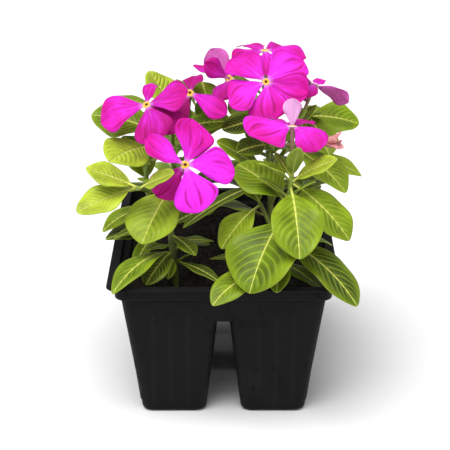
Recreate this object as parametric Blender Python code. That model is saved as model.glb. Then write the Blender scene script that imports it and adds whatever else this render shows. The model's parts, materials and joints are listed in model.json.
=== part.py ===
"""Potted Madagascar periwinkle: a black six-cell nursery pack, its growing medium, six plants and their blooms.

A Blender 4.5 script in metres, +Z up. The pack stands on the floor with its middle at the origin and its
front towards -Y. The sizes and places below are in millimetres and degrees.
"""

import math
import random
from collections import namedtuple

import bmesh
import bpy
from mathutils import Matrix, Vector
from mathutils.bvhtree import BVHTree

MM = 0.001
SEED = 7

# The pack: a thin-walled tray of two by three cells under one flat lip. It is one sheet, parted into its tray and
# its cells along a seam just under the channels' roof
HEIGHT = 85.0
LIP_HALF = (66.5, 89.0)
LIP_WIDTH = 4.2
WALL = 1.0
CORNER = 7.0
BAND_DEPTH = 8.7
SHOULDER = 7.6
OUTER_FLOOR = 18.6
CHANNEL_ROOF = 61.4
CHANNEL_TOP_HALF = 3.3
CHANNEL_FLOOR_HALF = 10.3
ROW_CHANNEL = 26.5
TRAY_INSET = 0.4
CELL_CORNER = 6.0
FOOT_ROUND = 2.3
DRAIN_RADIUS = 4.0
SEAM_TOP = 61.45
CELL_NAMES = ("cell_front_left", "cell_front_right", "cell_left", "cell_right", "cell_back_left", "cell_back_right")

# The shallow upright ribs on the cells' outward faces
RIB_WIDTH = 3.6
RIB_PITCH = 10.0
RIB_SHIFT = 1.4
RIB_PROUD = 0.6
RIB_FOOT = 5.0
RIB_TOP = 60.5

# The growing medium
SEAT_GAP = 0.3
SOIL_LEVEL = 73.0
SOIL_ROUGH = 1.3
ROOT_FOOT = 54.0
ROOT_COLLAR = 76.0
HOLE_GAP = 0.35

# Stems, leaves and petals
STEM_RADIUS = 2.0
TIP_RADIUS = 1.1
STALK_HALF = 0.8
LEAF_THICK = 0.75
PETAL_THICK = 0.65
FOLD = 13.0
CLEARANCE = 0.7
EYE_RADIUS = 2.6
ROLLED_WIDTH = 6.0
TUBE_LENGTH = 23.0
TUBE_RADII = (0.75, 1.05, 1.5)

# Shares of a blade's length: its stalk's, and where its cross rows lie
STALK = 0.16
LARGE_STATIONS = (0.0, STALK, 0.23, 0.38, 0.58, 0.78, 0.93, 1.0)
MIDDLE_STATIONS = (0.0, STALK, 0.25, 0.44, 0.68, 0.89, 1.0)
SMALL_STATIONS = (0.0, STALK, 0.32, 0.62, 0.87, 1.0)
TINY_STATIONS = (0.0, STALK, 0.42, 0.8, 1.0)
PETAL_STATIONS = (0.0, 0.28, 0.58, 0.86, 1.0)

# The calyx: a five-pointed cup around the foot of a bloom's tube
CALYX_DEPTH = 2.4
CALYX_RADIUS = 1.9
CALYX_POINT = 2.6

# A leaf: where its stalk joins the stem, its pointing, size, bend over its length, roll about its midrib, wave of
# its edge, and how far its tip leans to its left, in half widths
Leaf = namedtuple("Leaf", "foot heading rise length width droop roll wave lean", defaults=(0.0,))
# A shoot: the points that it grows through, the bloom that it carries, its hand-placed leaves, each
# (height, tip, width, droop, roll), and the pairs that fill it: (low, high, pairs, length, heading)
Shoot = namedtuple("Shoot", "points bloom leaves fill")
# A bloom: its eye, where its face points, its petals, each (angle, length, width, pitch, curl, roll), and how far
# each petal's tip leans anticlockwise, in half widths
Bloom = namedtuple("Bloom", "eye heading rise petals leans")


def rooted(x, y, *rest):
    """A main stem's points: straight up through its hole in the medium, then on through the rest."""
    return ((x, y, ROOT_FOOT), (x, y, ROOT_COLLAR), (x, y, ROOT_COLLAR + 5), *rest)


BLOOMS = {
    "bloom_front_left": Bloom((-21.5, -64, 151), -85, 28, (
        (66, 26, 23, 0, 10, 6), (150, 27, 19, 8, 15, 35), (2, 28, 20, 2, 10, 6),
        (-74, 29, 25, 6, 15, 4), (-137, 25, 19, -22, 10, -10)), (0.5, -0.3, -0.6, -0.1, 0.0)),
    "bloom_left": Bloom((-45, -17, 172.5), -110, 55, (
        (202, 29, 23, -4, 15, -12), (-56, 27, 23, -12, 35, 4), (18, 26, 19, 6, 12, 10),
        (-20, 26, 16, -26, 20, 8), (104, 24, 8.5, -18, 20, 0)), (0.3, -0.4, 0.3, 0.0, 0.0)),
    "bloom_middle": Bloom((-20, 0, 175), -85, 50, (
        (-40, 27, 13, 2, 12, 12), (-25, 25, 13, -20, 20, 14), (76, 17, 12, -18, 40, -20),
        (186, 20, 15, -30, 15, 8), (238, 24, 16, -16, 20, 8)), (0.0, -0.3, 0.0, 0.0, 0.0)),
    "bloom_top_left": Bloom((3.3, 18, 179), -100, 35, (
        (-53, 23.5, 15, 170, 10, 0), (160, 19.5, 12, 40, 20, 0), (160, 25, 13, -6, 15, 55),
        (257, 17, 12, 16, 15, 8), (50, 16, 8, 8, 12, 8)), (0.0, 0.0, 0.0, 0.0, 0.0)),
    "bloom_crown": Bloom((24.9, -13, 185.3), -95, 46, (
        (138, 25.5, 23, 3, 14, 8), (46, 26, 24, 3, 14, 8), (-14, 26, 21, -4, 18, 16),
        (-77, 25.5, 24, -6, 24, 6), (210, 26, 23, -2, 18, 8)), (0.45, -0.4, 0.0, -0.2, 0.4)),
    "bloom_back": Bloom((25.4, 36, 192), 90, 86, (
        (15, 22, 17, -20, 20, -25), (100, 23, 18, -36, 30, 4), (180, 26, 14, -6, 20, 25),
        (238, 23, 12, -3, 14, 20), (302, 24, 18, -2, 12, 0)), (0.0, 0.0, -0.5, -0.5, 0.0)),
    "bloom_right": Bloom((54.5, 6, 178), 65, 35, (
        (208, 23, 12, -4, 20, -12), (266, 11, 8, 66, 15, 4), (326, 22, 16, 2, 12, 8),
        (24, 21, 14, 2, 12, 8), (88, 18, 14, -70, 25, 4)), (0.0, 0.0, 0.0, 0.0, 0.0)),
    "bloom_front_right": Bloom((39, -50, 169.3), 90, 76, (
        (88, 17, 10, 88, 14, 4), (27, 24, 28, -22, 34, -40), (141, 23, 21, -38, 34, 30),
        (-50, 19, 15, 10, 16, 8), (232, 17, 14, 8, 16, 8)), (0.0, -0.5, 0.0, 0.0, 0.0)),
    "bloom_spent": Bloom((54.5, -24, 151.5), -15, 8, (
        (70, 17, 3.6, 72, 16, 30), (0, 16, 3.6, 84, 16, 40), (-60, 17, 3.6, 74, 18, 30),
        (150, 14, 3.6, 80, 12, 30), (225, 15, 3.6, 72, 14, 40)), (0.0, 0.0, 0.0, 0.0, 0.0)),
}

PLANTS = {
    "plant_front_left": (
        Shoot(rooted(-28, -53, (-30, -50, 97), (-31, -44, 122), (-28, -41, 134)),
              "bloom_front_left",
              ((131, (-46, -74, 107), 33, 30, 0), (93, (-62, -92, 84), 16, 60, 0),
               (88, (-1, -72, 82), 9, 30, 0), (97, (-44, -62, 95), 8, 25, 0),
               (103, (-16, -66, 97), 10, 30, 0), (99, (-6, -38, 95), 9, 20, 0),
               (90, (-32, -65, 82), 6, 20, 0), (86, (-20, -62, 94), 6, 20, 0)),
              (94, 124, 2, 32, 60)),
    ),
    "plant_left": (
        Shoot(rooted(-30, 0, (-37, -4, 96), (-46, -9, 117), (-45, -7, 136), (-42, -4, 149)),
              "bloom_left",
              ((120, (-28, -28, 132), 16, 25, 20), (121, (-53, 14, 137), 17, 20, 0),
               (143, (-66, -40, 145), 27, 25, -25), (151, (-80, -4, 160), 30, 30, -30),
               (104, (-73, -14, 92), 12, 60, -20), (94, (-53, -50, 82), 9, 30, 0),
               (93, (-62, -30, 97), 9, 20, 0)),
              (90, 132, 2, 36, 40)),
        Shoot(((-46, -9, 117), (-50, -28, 125), (-50, -48, 132), (-47, -67, 138)),
              None,
              ((137.5, (-26, -77, 151), 13, 10, 32), (134, (-83, -68, 124), 20, 15, -25),
               (135, (-78, -58, 147), 16, 10, -30)), None),
    ),
    "plant_back_left": (
        Shoot(rooted(-29, 53, (-31, 46, 104), (-32, 32, 136), (-30, 20, 156)),
              "bloom_middle",
              ((154, (-65, 22, 167), 13, 15, 0), (156, (-46, 32, 180), 24, 15, 0),
               (142, (4, 5, 156), 17, 20, 35), (130, (7, 12, 154), 14, 20, 30), (97, (-38, 104.28, 97), 22, 45, 0)),
              (92, 140, 3, 44, 10)),
        Shoot(((-31, 46, 104), (-24, 42, 122), (-17, 33, 150), (-14, 26, 177)),
              None,
              ((176, (-9.5, 8, 169), 17, 30, 0), (150, (-2, 14, 164), 15, 20, 0)),
              (124, 156, 2, 32, 80)),
    ),
    "plant_right": (
        Shoot(rooted(29, 0, (29, 3, 104), (27, 5, 138), (26, 4, 158)),
              "bloom_crown",
              ((118, (-24, -26, 99), 12, 30, 0), (119, (-4, -14, 149), 17, 20, -40),
               (158, (3, -6, 143), 15, 15, -35), (141, (8, -16, 140), 13, 20, -35),
               (156, (0, 16, 162), 20, 20, -35)),
              (94, 136, 2, 38, 30)),
        Shoot(((29, 3, 104), (34, 0, 120), (42, -6, 142), (46, -11, 156)),
              "bloom_right",
              ((142, (71, -40, 126), 23, 35, 0), (140, (83, -6, 125), 18, 30, 10)),
              (118, 150, 2, 28, 120)),
        Shoot(((27, 5, 138), (29, -10, 143)),
              "bloom_spent",
              (), None),
        Shoot(((27, 5, 138), (24, 7, 152)),
              "bloom_top_left",
              (), None),
    ),
    "plant_back_right": (
        Shoot(rooted(29, 53, (31, 50, 108), (28, 45, 146), (26, 42, 164)),
              "bloom_back",
              ((158, (38, 66, 176), 15, 20, 0), (160, (2, 44, 176), 15, 20, 0), (103, (41, 102, 101), 20, 40, 0)),
              (92, 140, 3, 44, 0)),
        Shoot(((31, 50, 108), (38, 40, 126), (48, 22, 150), (50, 16, 160)),
              None,
              ((155, (83, 20, 150), 24, 25, 30), (158, (59, -22, 146), 20, 30, 0),
               (156, (63, 38, 155), 9, 20, 0)),
              (122, 150, 2, 32, 20)),
    ),
    "plant_front_right": (
        Shoot(rooted(29, -53, (32, -57, 98), (36, -62, 122), (38, -61, 137)),
              "bloom_front_right",
              ((137, (42, -101, 108.5), 29, 48, 0), (139, (71, -76, 110), 25, 30, 15),
               (121, (13, -102, 92), 42, 45, 0), (127, (8, -36, 142), 29, 25, -15),
               (104, (75, -93, 77), 22, 45, 12),
               (109, (63, -52, 98), 14, 25, 0), (96, (30, -92, 85), 14, 25, 0), (90, (56, -78, 81), 12, 25, 0),
               (92, (-8, -46, 87), 9, 15, 0), (140, (20, -74, 155), 10, 10, 0),
               (141, (41, -70, 165), 9, 10, 0), (139, (64, -66, 155), 12, 20, 30),
               (141, (35, -56, 158), 7, 10, 0)),
              (96, 130, 2, 26, 70)),
        Shoot(((32, -57, 98), (28, -52, 108), (21, -46, 122)),
              None,
              ((121, (-1, -66, 101), 21, 35, 0), (120, (10, -26, 132), 13, 25, 0)), None),
        Shoot(((29, -53, 81), (27, -62, 85), (24, -71, 87)),
              None,
              ((86.8, (-6, -99, 80), 17, 60, -20),), None),
    ),
}


def clear_scene():
    """Remove every object of the scene that the script starts in."""
    for obj in list(bpy.data.objects):
        bpy.data.objects.remove(obj, do_unlink=True)


def new_collection(name):
    """Make a collection under the scene."""
    made = bpy.data.collections.new(name)
    bpy.context.scene.collection.children.link(made)
    return made


def material(name, colour, roughness):
    """Make a Principled BSDF material."""
    made = bpy.data.materials.new(name)
    made.use_nodes = True
    shader = made.node_tree.nodes["Principled BSDF"]
    shader.inputs["Base Color"].default_value = (*colour, 1.0)
    shader.inputs["Roughness"].default_value = roughness
    shader.inputs["Metallic"].default_value = 0.0
    return made


def paint(obj, surface):
    """Give an object one material, and nothing else."""
    obj.data.materials.clear()
    obj.data.materials.append(surface)
    for face in obj.data.polygons:
        face.material_index = 0
        face.use_smooth = obj.name.startswith(("plant", "bloom"))


def add_object(name, mesh, collection):
    """Put a mesh into the scene as an object."""
    obj = bpy.data.objects.new(name, mesh)
    collection.objects.link(obj)
    return obj


def mesh_from(name, bm):
    """Turn a bmesh in millimetres into a mesh in metres with its faces outwards."""
    bmesh.ops.recalc_face_normals(bm, faces=bm.faces)
    if bm.calc_volume(signed=True) < 0:
        bmesh.ops.reverse_faces(bm, faces=bm.faces)
    bmesh.ops.scale(bm, vec=(MM, MM, MM), verts=bm.verts)
    mesh = bpy.data.meshes.new(name)
    bm.to_mesh(mesh)
    bm.free()
    return mesh


def settle(obj):
    """Make the result of an object's modifiers its own mesh."""
    graph = bpy.context.evaluated_depsgraph_get()
    mesh = bpy.data.meshes.new_from_object(obj.evaluated_get(graph))
    obj.modifiers.clear()
    obj.data = mesh


def boolean(obj, others, operation, solver="MANIFOLD"):
    """Join other objects to this one, or cut them from it, and remove them."""
    group = new_collection(obj.name + "_operands")
    for other in others:
        for holder in other.users_collection:
            holder.objects.unlink(other)
        group.objects.link(other)
    modifier = obj.modifiers.new(operation.lower(), "BOOLEAN")
    modifier.operation = operation
    modifier.solver = solver
    modifier.operand_type = "COLLECTION"
    modifier.collection = group
    settle(obj)
    for other in list(group.objects):
        bpy.data.objects.remove(other, do_unlink=True)
    bpy.data.collections.remove(group)


def keep_largest_body(obj):
    """Drop loose scraps and sealed hollows, so that one closed body is left."""
    bm = bmesh.new()
    bm.from_mesh(obj.data)
    unseen = set(bm.faces)
    bodies = []
    while unseen:
        front = [unseen.pop()]
        body = list(front)
        while front:
            face = front.pop()
            for edge in face.edges:
                for other in edge.link_faces:
                    if other in unseen:
                        unseen.remove(other)
                        front.append(other)
                        body.append(other)
        bodies.append(body)
    bodies.sort(key=len)
    loose = [face for body in bodies[:-1] for face in body]
    bmesh.ops.delete(bm, geom=loose, context="FACES")
    bm.to_mesh(obj.data)
    bm.free()


# The pack and its medium


def ring(centre, half, radius, z, steps):
    """Corner points of a rounded rectangle, anticlockwise."""
    points = []
    for quarter, (sx, sy) in enumerate(((1, 1), (-1, 1), (-1, -1), (1, -1))):
        for step in range(steps + 1):
            angle = math.radians(90 * (quarter + step / steps))
            points.append((centre[0] + sx * (half[0] - radius) + radius * math.cos(angle),
                           centre[1] + sy * (half[1] - radius) + radius * math.sin(angle), z))
    return points


def loft(name, rings, collection, place=None):
    """Skin a stack of rings that have as many points each, and close both ends."""
    bm = bmesh.new()
    rows = [[bm.verts.new(point) for point in row] for row in rings]
    for low, high in zip(rows, rows[1:]):
        for i in range(len(low)):
            bm.faces.new((low[i - 1], low[i], high[i], high[i - 1]))
    bm.faces.new(rows[0])
    bm.faces.new(rows[-1])
    if place:
        bmesh.ops.transform(bm, matrix=place, verts=bm.verts)
    return add_object(name, mesh_from(name, bm), collection)


def tray_rings(inward, bottom, top):
    """The tray above the cells: the body's upper part, its shoulder and the band, moved inwards by a wall."""
    draft = (OUTER_FLOOR - SHOULDER) / (HEIGHT - BAND_DEPTH)
    shoulder = HEIGHT - BAND_DEPTH
    outline = [
        (SHOULDER + TRAY_INSET + draft * (shoulder - bottom), bottom),
        (SHOULDER + TRAY_INSET, shoulder - 1.2),
        (SHOULDER - 1.2, shoulder - 0.6),
        (SHOULDER - 3.0, shoulder + 0.6),
        (LIP_WIDTH + 0.2, HEIGHT - WALL),
    ]
    rows = []
    for inset, z in outline:
        inset += inward
        z = z if z == bottom else z + 0.8 * inward
        if z < top:
            rows.append((inset, z))
    rows.append((rows[-1][0] - 0.1, top))
    return [ring((0, 0), (LIP_HALF[0] - inset, LIP_HALF[1] - inset), CORNER - 0.08 * inset, z, 2)
            for inset, z in rows]


def lip_rings():
    """The flat lip around the top, with its thin edge eased."""
    rows = ((LIP_WIDTH + 1.5, HEIGHT - WALL), (0.3, HEIGHT - WALL), (0, HEIGHT - 0.7),
            (0, HEIGHT - 0.3), (0.3, HEIGHT), (LIP_WIDTH + 1.5, HEIGHT))
    return [ring((0, 0), (LIP_HALF[0] - inset, LIP_HALF[1] - inset), CORNER - 0.2 * inset, z, 3)
            for inset, z in rows]


def cell_sides(z):
    """Where a corner cell's sides lie at a height: inner and outer X, inner and outer Y."""
    rise = (CHANNEL_FLOOR_HALF - CHANNEL_TOP_HALF) / CHANNEL_ROOF
    draft = (OUTER_FLOOR - SHOULDER) / (HEIGHT - BAND_DEPTH)
    gap = CHANNEL_FLOOR_HALF - rise * z
    return (gap, LIP_HALF[0] - OUTER_FLOOR + draft * z, ROW_CHANNEL + gap, LIP_HALF[1] - OUTER_FLOOR + draft * z)


def cell_ring(column, row, inward, z, shrink, steps):
    """One level of a cell, moved inwards by a wall."""
    in_x, out_x, in_y, out_y = cell_sides(z)
    half_x = (out_x - in_x) / 2 - inward - shrink
    if row:
        centre_y, half_y = row * (in_y + out_y) / 2, (out_y - in_y) / 2 - inward - shrink
    else:
        centre_y, half_y = 0.0, 2 * ROW_CHANNEL - in_y - inward - shrink
    return ring((column * (in_x + out_x) / 2, centre_y), (half_x, half_y), CELL_CORNER - 0.5 * inward, z, steps)


def cell_rings(column, row, inward, floor, top, steps=2):
    """A tapered cell with a rounded foot."""
    return [cell_ring(column, row, inward, z, shrink, steps) for z, shrink in (
        (floor, FOOT_ROUND), (floor + 0.3 * FOOT_ROUND, 0.3 * FOOT_ROUND), (floor + FOOT_ROUND, 0), (top, 0))]


def cells():
    """The column and row of each of the six cells."""
    return [(column, row) for row in (-1, 0, 1) for column in (-1, 1)]


def rib(collection, middle, normal):
    """One shallow upright rib: middle is a point at the cell's face at the floor, normal its outward way."""
    draft = (OUTER_FLOOR - SHOULDER) / (HEIGHT - BAND_DEPTH)
    across = Vector((-normal.y, normal.x, 0))
    up = Vector((normal.x * draft, normal.y * draft, 1)).normalized()
    out = across.cross(up)
    place = Matrix((across, up, out)).transposed().to_4x4()
    place.translation = middle
    centre = (0, (RIB_FOOT + RIB_TOP) / 2)
    half = (RIB_WIDTH / 2, (RIB_TOP - RIB_FOOT) / 2)
    rings = [
        ring(centre, (half[0] + 0.5, half[1] + 0.5), half[0] + 0.4, -0.5, 1),
        ring(centre, half, half[0] - 0.1, RIB_PROUD, 1),
    ]
    return loft("rib", rings, collection, place)


def ribs(collection):
    """Three ribs on each outward face of the cells."""
    made = []
    in_x, out_x, in_y, out_y = cell_sides(0)
    for column, row in cells():
        faces = [(Vector((column * out_x, row * ((in_y + out_y) / 2 + RIB_SHIFT), 0)), Vector((column, 0, 0)))]
        if row:
            middle = column * ((in_x + out_x) / 2 + RIB_SHIFT)
            faces.append((Vector((middle, row * out_y, 0)), Vector((0, row, 0))))
        for middle, normal in faces:
            along = Vector((-normal.y, normal.x, 0))
            made += [rib(collection, middle + along * RIB_PITCH * step, normal) for step in (-1, 0, 1)]
    return made


def cylinder(name, radius, low, high, centre, sides, collection):
    """An upright cylinder between two heights."""
    bm = bmesh.new()
    place = Matrix.Translation((centre[0], centre[1], (low + high) / 2))
    bmesh.ops.create_cone(bm, cap_ends=True, segments=sides, radius1=radius, radius2=radius,
                          depth=high - low, matrix=place)
    return add_object(name, mesh_from(name, bm), collection)


def build_pack(collection, cutters):
    """The thin-walled pack: outer shapes joined, then its inside and the drain holes cut out."""
    pack = loft("pot", tray_rings(0, CHANNEL_ROOF, HEIGHT - 0.5), collection)
    outer = [loft("cell", cell_rings(*cell, 0, 0, HEIGHT - BAND_DEPTH - 0.4), cutters) for cell in cells()]
    outer.append(loft("lip", lip_rings(), cutters))
    boolean(pack, outer + ribs(cutters), "UNION")
    inner = [loft("hollow", cell_rings(*cell, WALL, WALL, 70, 1), cutters) for cell in cells()]
    inner.append(loft("hollow", tray_rings(WALL, CHANNEL_ROOF + WALL, HEIGHT + 2), cutters))
    for column, row in cells():
        middle = cell_middle(column, row)
        inner.append(cylinder("drain", DRAIN_RADIUS, -1, 3, middle, 8, cutters))
    boolean(pack, inner, "DIFFERENCE")
    keep_largest_body(pack)
    return pack


def block(low, high, collection):
    """A plain box between two corners."""
    bm = bmesh.new()
    bmesh.ops.create_cube(bm, size=1)
    for vert in bm.verts:
        vert.co = [a + (share + 0.5) * (b - a) for a, b, share in zip(low, high, vert.co)]
    return add_object("block", mesh_from("block", bm), collection)


def part_cells(pack, collection, cutters):
    """Part the pack just under the channels' roof: the tray stays, and each cell becomes a body of its own."""
    reach_x, reach_y = LIP_HALF[0] + 5, LIP_HALF[1] + 5
    bodies = [pack]
    for name, (column, row) in zip(CELL_NAMES, cells()):
        near_y, far_y = (-ROW_CHANNEL, ROW_CHANNEL) if row == 0 else sorted((row * ROW_CHANNEL, row * reach_y))
        near_x, far_x = sorted((0, column * reach_x))
        cell = add_object(name, pack.data.copy(), collection)
        space = block((near_x, near_y, -1), (far_x, far_y, SEAM_TOP - SEAT_GAP), cutters)
        boolean(cell, [space], "INTERSECT")
        keep_largest_body(cell)
        bodies.append(cell)
    boolean(pack, [block((-reach_x, -reach_y, SEAM_TOP), (reach_x, reach_y, HEIGHT + 5), cutters)], "INTERSECT")
    keep_largest_body(pack)
    return bodies


def cell_middle(column, row):
    """The middle of a cell's floor."""
    in_x, out_x, in_y, out_y = cell_sides(0)
    return column * (in_x + out_x) / 2, row * (in_y + out_y) / 2


def soil_height(x, y, bumps):
    """Height of the medium's crumbly top."""
    swell = sum(high * math.sin(fx * x + fy * y + shift) for high, fx, fy, shift in bumps)
    return SOIL_LEVEL + SOIL_ROUGH * swell


def soil_bumps():
    """A few seeded waves that make the medium's top uneven."""
    draw = random.Random(SEED)
    return [(draw.uniform(0.25, 0.5), draw.uniform(-0.3, 0.3), draw.uniform(-0.3, 0.3), draw.uniform(0, 6.3))
            for _ in range(5)]


def soil_cutter(cutters):
    """Everything above the medium's uneven top."""
    bumps = soil_bumps()
    bm = bmesh.new()
    size = (LIP_HALF[0] + 4, LIP_HALF[1] + 4)
    bmesh.ops.create_grid(bm, x_segments=7, y_segments=9, size=1)
    for vert in bm.verts:
        x, y = vert.co.x * size[0], vert.co.y * size[1]
        vert.co = (x, y, soil_height(x, y, bumps))
    top = bmesh.ops.extrude_face_region(bm, geom=list(bm.faces))["geom"]
    for vert in top:
        if isinstance(vert, bmesh.types.BMVert):
            vert.co.z = HEIGHT + 5
    return add_object("above", mesh_from("above", bm), cutters)


def build_medium(collection, cutters):
    """The growing medium: six plugs and the layer above them, with a plain hole for each plant's stem."""
    inward = WALL + SEAT_GAP
    medium = loft("growing_medium", tray_rings(inward, CHANNEL_ROOF + inward, SOIL_LEVEL + 6), collection)
    plugs = [loft("plug", cell_rings(*cell, inward, inward, 69.5, 1), cutters) for cell in cells()]
    boolean(medium, plugs, "UNION")
    cuts = [soil_cutter(cutters)]
    for shoots in PLANTS.values():
        foot = shoots[0].points[0]
        cuts.append(cylinder("hole", STEM_RADIUS + HOLE_GAP + 0.3, foot[2] - SEAT_GAP, HEIGHT, foot, 6, cutters))
    boolean(medium, cuts, "DIFFERENCE")
    keep_largest_body(medium)
    return medium


# Blades: leaves, petals and sepals share one construction


def pointing(heading, rise):
    """The unit vector of a heading round Z and a rise above the horizontal, in degrees."""
    h, a = math.radians(heading), math.radians(rise)
    return Vector((math.cos(a) * math.cos(h), math.cos(a) * math.sin(h), math.sin(a)))


def leaf_outline(u):
    """Half width of a leaf over its length, from 0 to 1: oblong, widest past its middle, with a short point."""
    return math.sin(math.pi * u ** 1.1) ** 0.7 if 0 < u < 1 else 0.0


def petal_outline(u):
    """Half width of a petal over its length: a narrow claw that opens into a broad, blunt end."""
    return math.sin(math.pi * u ** 1.9) ** 0.75 if 0 < u < 1 else 0.0


def blade_point(leaf, outline, stalk, s, t, lift):
    """A point of a blade: s runs from its foot to its tip, t from -1 to 1 across it, lift off its middle."""
    droop = math.radians(leaf.droop) or 1e-4
    start = math.radians(leaf.rise) + droop / 2
    angle = start - droop * s
    run = leaf.length * (math.sin(start) - math.sin(angle)) / droop
    climb = leaf.length * (math.cos(angle) - math.cos(start)) / droop
    h, roll = math.radians(leaf.heading), math.radians(leaf.roll)
    side = Vector((-math.sin(h), math.cos(h), 0))
    up = Vector((-math.sin(angle) * math.cos(h), -math.sin(angle) * math.sin(h), math.cos(angle)))
    u = max(0.0, (s - stalk) / (1 - stalk))
    half = leaf.width / 2 * outline(u) + STALK_HALF * (1 - u) + 0.35 * u
    lift += half * abs(t) * (math.tan(math.radians(FOLD)) - 0.14 * abs(t))
    lift += leaf.wave * outline(u) * t * t * math.sin(9.5 * u + 1.5 * t + leaf.heading)
    middle = Vector(leaf.foot) + Vector((run * math.cos(h), run * math.sin(h), climb))
    across = side * math.cos(roll) + up * math.sin(roll)
    off = up * math.cos(roll) - side * math.sin(roll)
    return middle + across * (t * half + leaf.lean * leaf.width / 2 * u ** 3) + off * lift


def blade_shape(leaf, outline, stalk, stations, across, thick):
    """Vertices and triangles of a closed blade, split alike on its two faces."""
    ts = [2 * i / across - 1 for i in range(across + 1)]
    wide = across + 1
    verts = [blade_point(leaf, outline, stalk, s, t, side * thick / 2)
             for side in (1, -1) for s in stations for t in ts]
    under = len(stations) * wide
    faces = []
    for row in range(len(stations) - 1):
        for col in range(across):
            a = row * wide + col
            b, c, d = a + 1, a + wide + 1, a + wide
            faces += [(a, c, b), (a, d, c), (under + a, under + b, under + c), (under + a, under + c, under + d)]
    rim = [row * wide for row in range(len(stations))]
    rim += [(len(stations) - 1) * wide + col for col in range(1, wide)]
    rim += [row * wide + across for row in range(len(stations) - 2, -1, -1)]
    rim += list(range(across - 1, 0, -1))
    for a, b in zip(rim, rim[1:] + rim[:1]):
        faces += [(a, under + a, b), (b, under + a, under + b)]
    return verts, faces


def blade_object(name, shape, collection):
    """A blade's vertices and triangles as an object."""
    bm = bmesh.new()
    verts = [bm.verts.new(point) for point in shape[0]]
    for face in shape[1]:
        bm.faces.new([verts[i] for i in face])
    return add_object(name, mesh_from(name, bm), collection)


def leaf_shape(leaf):
    """A leaf with its stalk."""
    if leaf.width > 27:
        stations, across = LARGE_STATIONS, 4
    elif leaf.length > 40:
        stations, across = MIDDLE_STATIONS, 2
    else:
        stations, across = SMALL_STATIONS if leaf.length > 29 else TINY_STATIONS, 2
    return blade_shape(leaf, leaf_outline, STALK, stations, across, LEAF_THICK)


def guard_tree(leaf):
    """The space that a leaf needs: its blade made thicker and wider by the clearance."""
    wide = leaf._replace(width=leaf.width + 2 * CLEARANCE, length=leaf.length + CLEARANCE)
    stations = (0.16, 0.28, 0.42, 0.56, 0.7, 0.84, 0.95, 1.0)
    verts, faces = blade_shape(wide, leaf_outline, STALK, stations, 4, LEAF_THICK + 2 * CLEARANCE)
    return BVHTree.FromPolygons(verts, faces)


# Blooms


def bloom_frame(bloom):
    """The frame of a bloom: X to the right of its face, Y up its face, Z out of it."""
    out = pointing(bloom.heading, bloom.rise)
    up = Vector((0, 0, 1))
    up = (up - up.dot(out) * out).normalized()
    frame = Matrix((up.cross(out), up, out)).transposed().to_4x4()
    frame.translation = Vector(bloom.eye)
    return frame


def calyx_place(bloom):
    """The foot of a bloom's tube."""
    return Vector(bloom.eye) - pointing(bloom.heading, bloom.rise) * TUBE_LENGTH


def petal_shapes(bloom):
    """The petals of a bloom in world millimetres."""
    frame = bloom_frame(bloom)
    shapes = []
    for (angle, length, width, pitch, curl, roll), lean in zip(bloom.petals, bloom.leans):
        foot = 0.8 * pointing(angle, 0)
        petal = Leaf(foot, angle, pitch, length - 1.0, width, curl, roll, 0.5, lean)
        stations = PETAL_STATIONS if width > ROLLED_WIDTH else PETAL_STATIONS[::2]
        verts, faces = blade_shape(petal, petal_outline, 0.0, stations, 2, PETAL_THICK)
        shapes.append(([frame @ point for point in verts], faces))
    return shapes


def tube(name, points, radii, sides, collection):
    """A round stem through some points, as a mesh: sides is 4, 6 or 8."""
    curve = bpy.data.curves.new(name, "CURVE")
    curve.dimensions = "3D"
    curve.bevel_depth = MM
    curve.bevel_resolution = sides // 2 - 2
    curve.use_fill_caps = True
    spline = curve.splines.new("POLY")
    spline.points.add(len(points) - 1)
    for slot, point, radius in zip(spline.points, points, radii):
        slot.co = (*(Vector(point) * MM), 1)
        slot.radius = radius
    obj = add_object(name, curve, collection)
    graph = bpy.context.evaluated_depsgraph_get()
    mesh = bpy.data.meshes.new_from_object(obj.evaluated_get(graph))
    bpy.data.objects.remove(obj, do_unlink=True)
    bm = bmesh.new()
    bm.from_mesh(mesh)
    bmesh.ops.remove_doubles(bm, verts=bm.verts, dist=1e-6)
    bmesh.ops.recalc_face_normals(bm, faces=bm.faces)
    bm.to_mesh(mesh)
    bm.free()
    return add_object(name, mesh, collection)


def bloom_tube_points(bloom):
    """The corolla tube's middle line, from just above the calyx to the eye."""
    foot, eye = calyx_place(bloom), Vector(bloom.eye)
    out = pointing(bloom.heading, bloom.rise)
    return [foot + out * SEAT_GAP, foot.lerp(eye, 0.5), eye - out * 0.3]


def build_bloom(name, bloom, collection, cutters):
    """A bloom: its tube, the disc of its eye and its petals, in one body."""
    corolla = tube(name, bloom_tube_points(bloom), TUBE_RADII, 4, collection)
    bm = bmesh.new()
    place = bloom_frame(bloom) @ Matrix.Translation((0, 0, -0.1))
    bmesh.ops.create_cone(bm, cap_ends=True, segments=8, radius1=1.6, radius2=EYE_RADIUS, depth=1.4, matrix=place)
    parts = [add_object("eye", mesh_from("eye", bm), cutters)]
    parts += [blade_object("petal", shape, cutters) for shape in petal_shapes(bloom)]
    boolean(corolla, parts, "UNION")
    keep_largest_body(corolla)
    return corolla


# Plants


def smooth_path(points, steps=2):
    """A smooth line through some points."""
    points = [Vector(point) for point in points]
    ends = [2 * points[0] - points[1]] + points + [2 * points[-1] - points[-2]]
    line = []
    for a, b, c, d in zip(ends, ends[1:], ends[2:], ends[3:]):
        for step in range(steps):
            f = step / steps
            line.append(0.5 * (2 * b + (c - a) * f + (2 * a - 5 * b + 4 * c - d) * f * f
                               + (3 * b - a - 3 * c + d) * f ** 3))
    return line + [points[-1]]


def shoot_path(shoot):
    """The line that a shoot grows along, up to its bloom's calyx."""
    path = smooth_path(shoot.points)
    if shoot.bloom:
        bloom = BLOOMS[shoot.bloom]
        out = pointing(bloom.heading, bloom.rise)
        path = smooth_path([*shoot.points, calyx_place(bloom) - out * 4])
        path.append(calyx_place(bloom) - out * 1.2)
    return path


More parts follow.
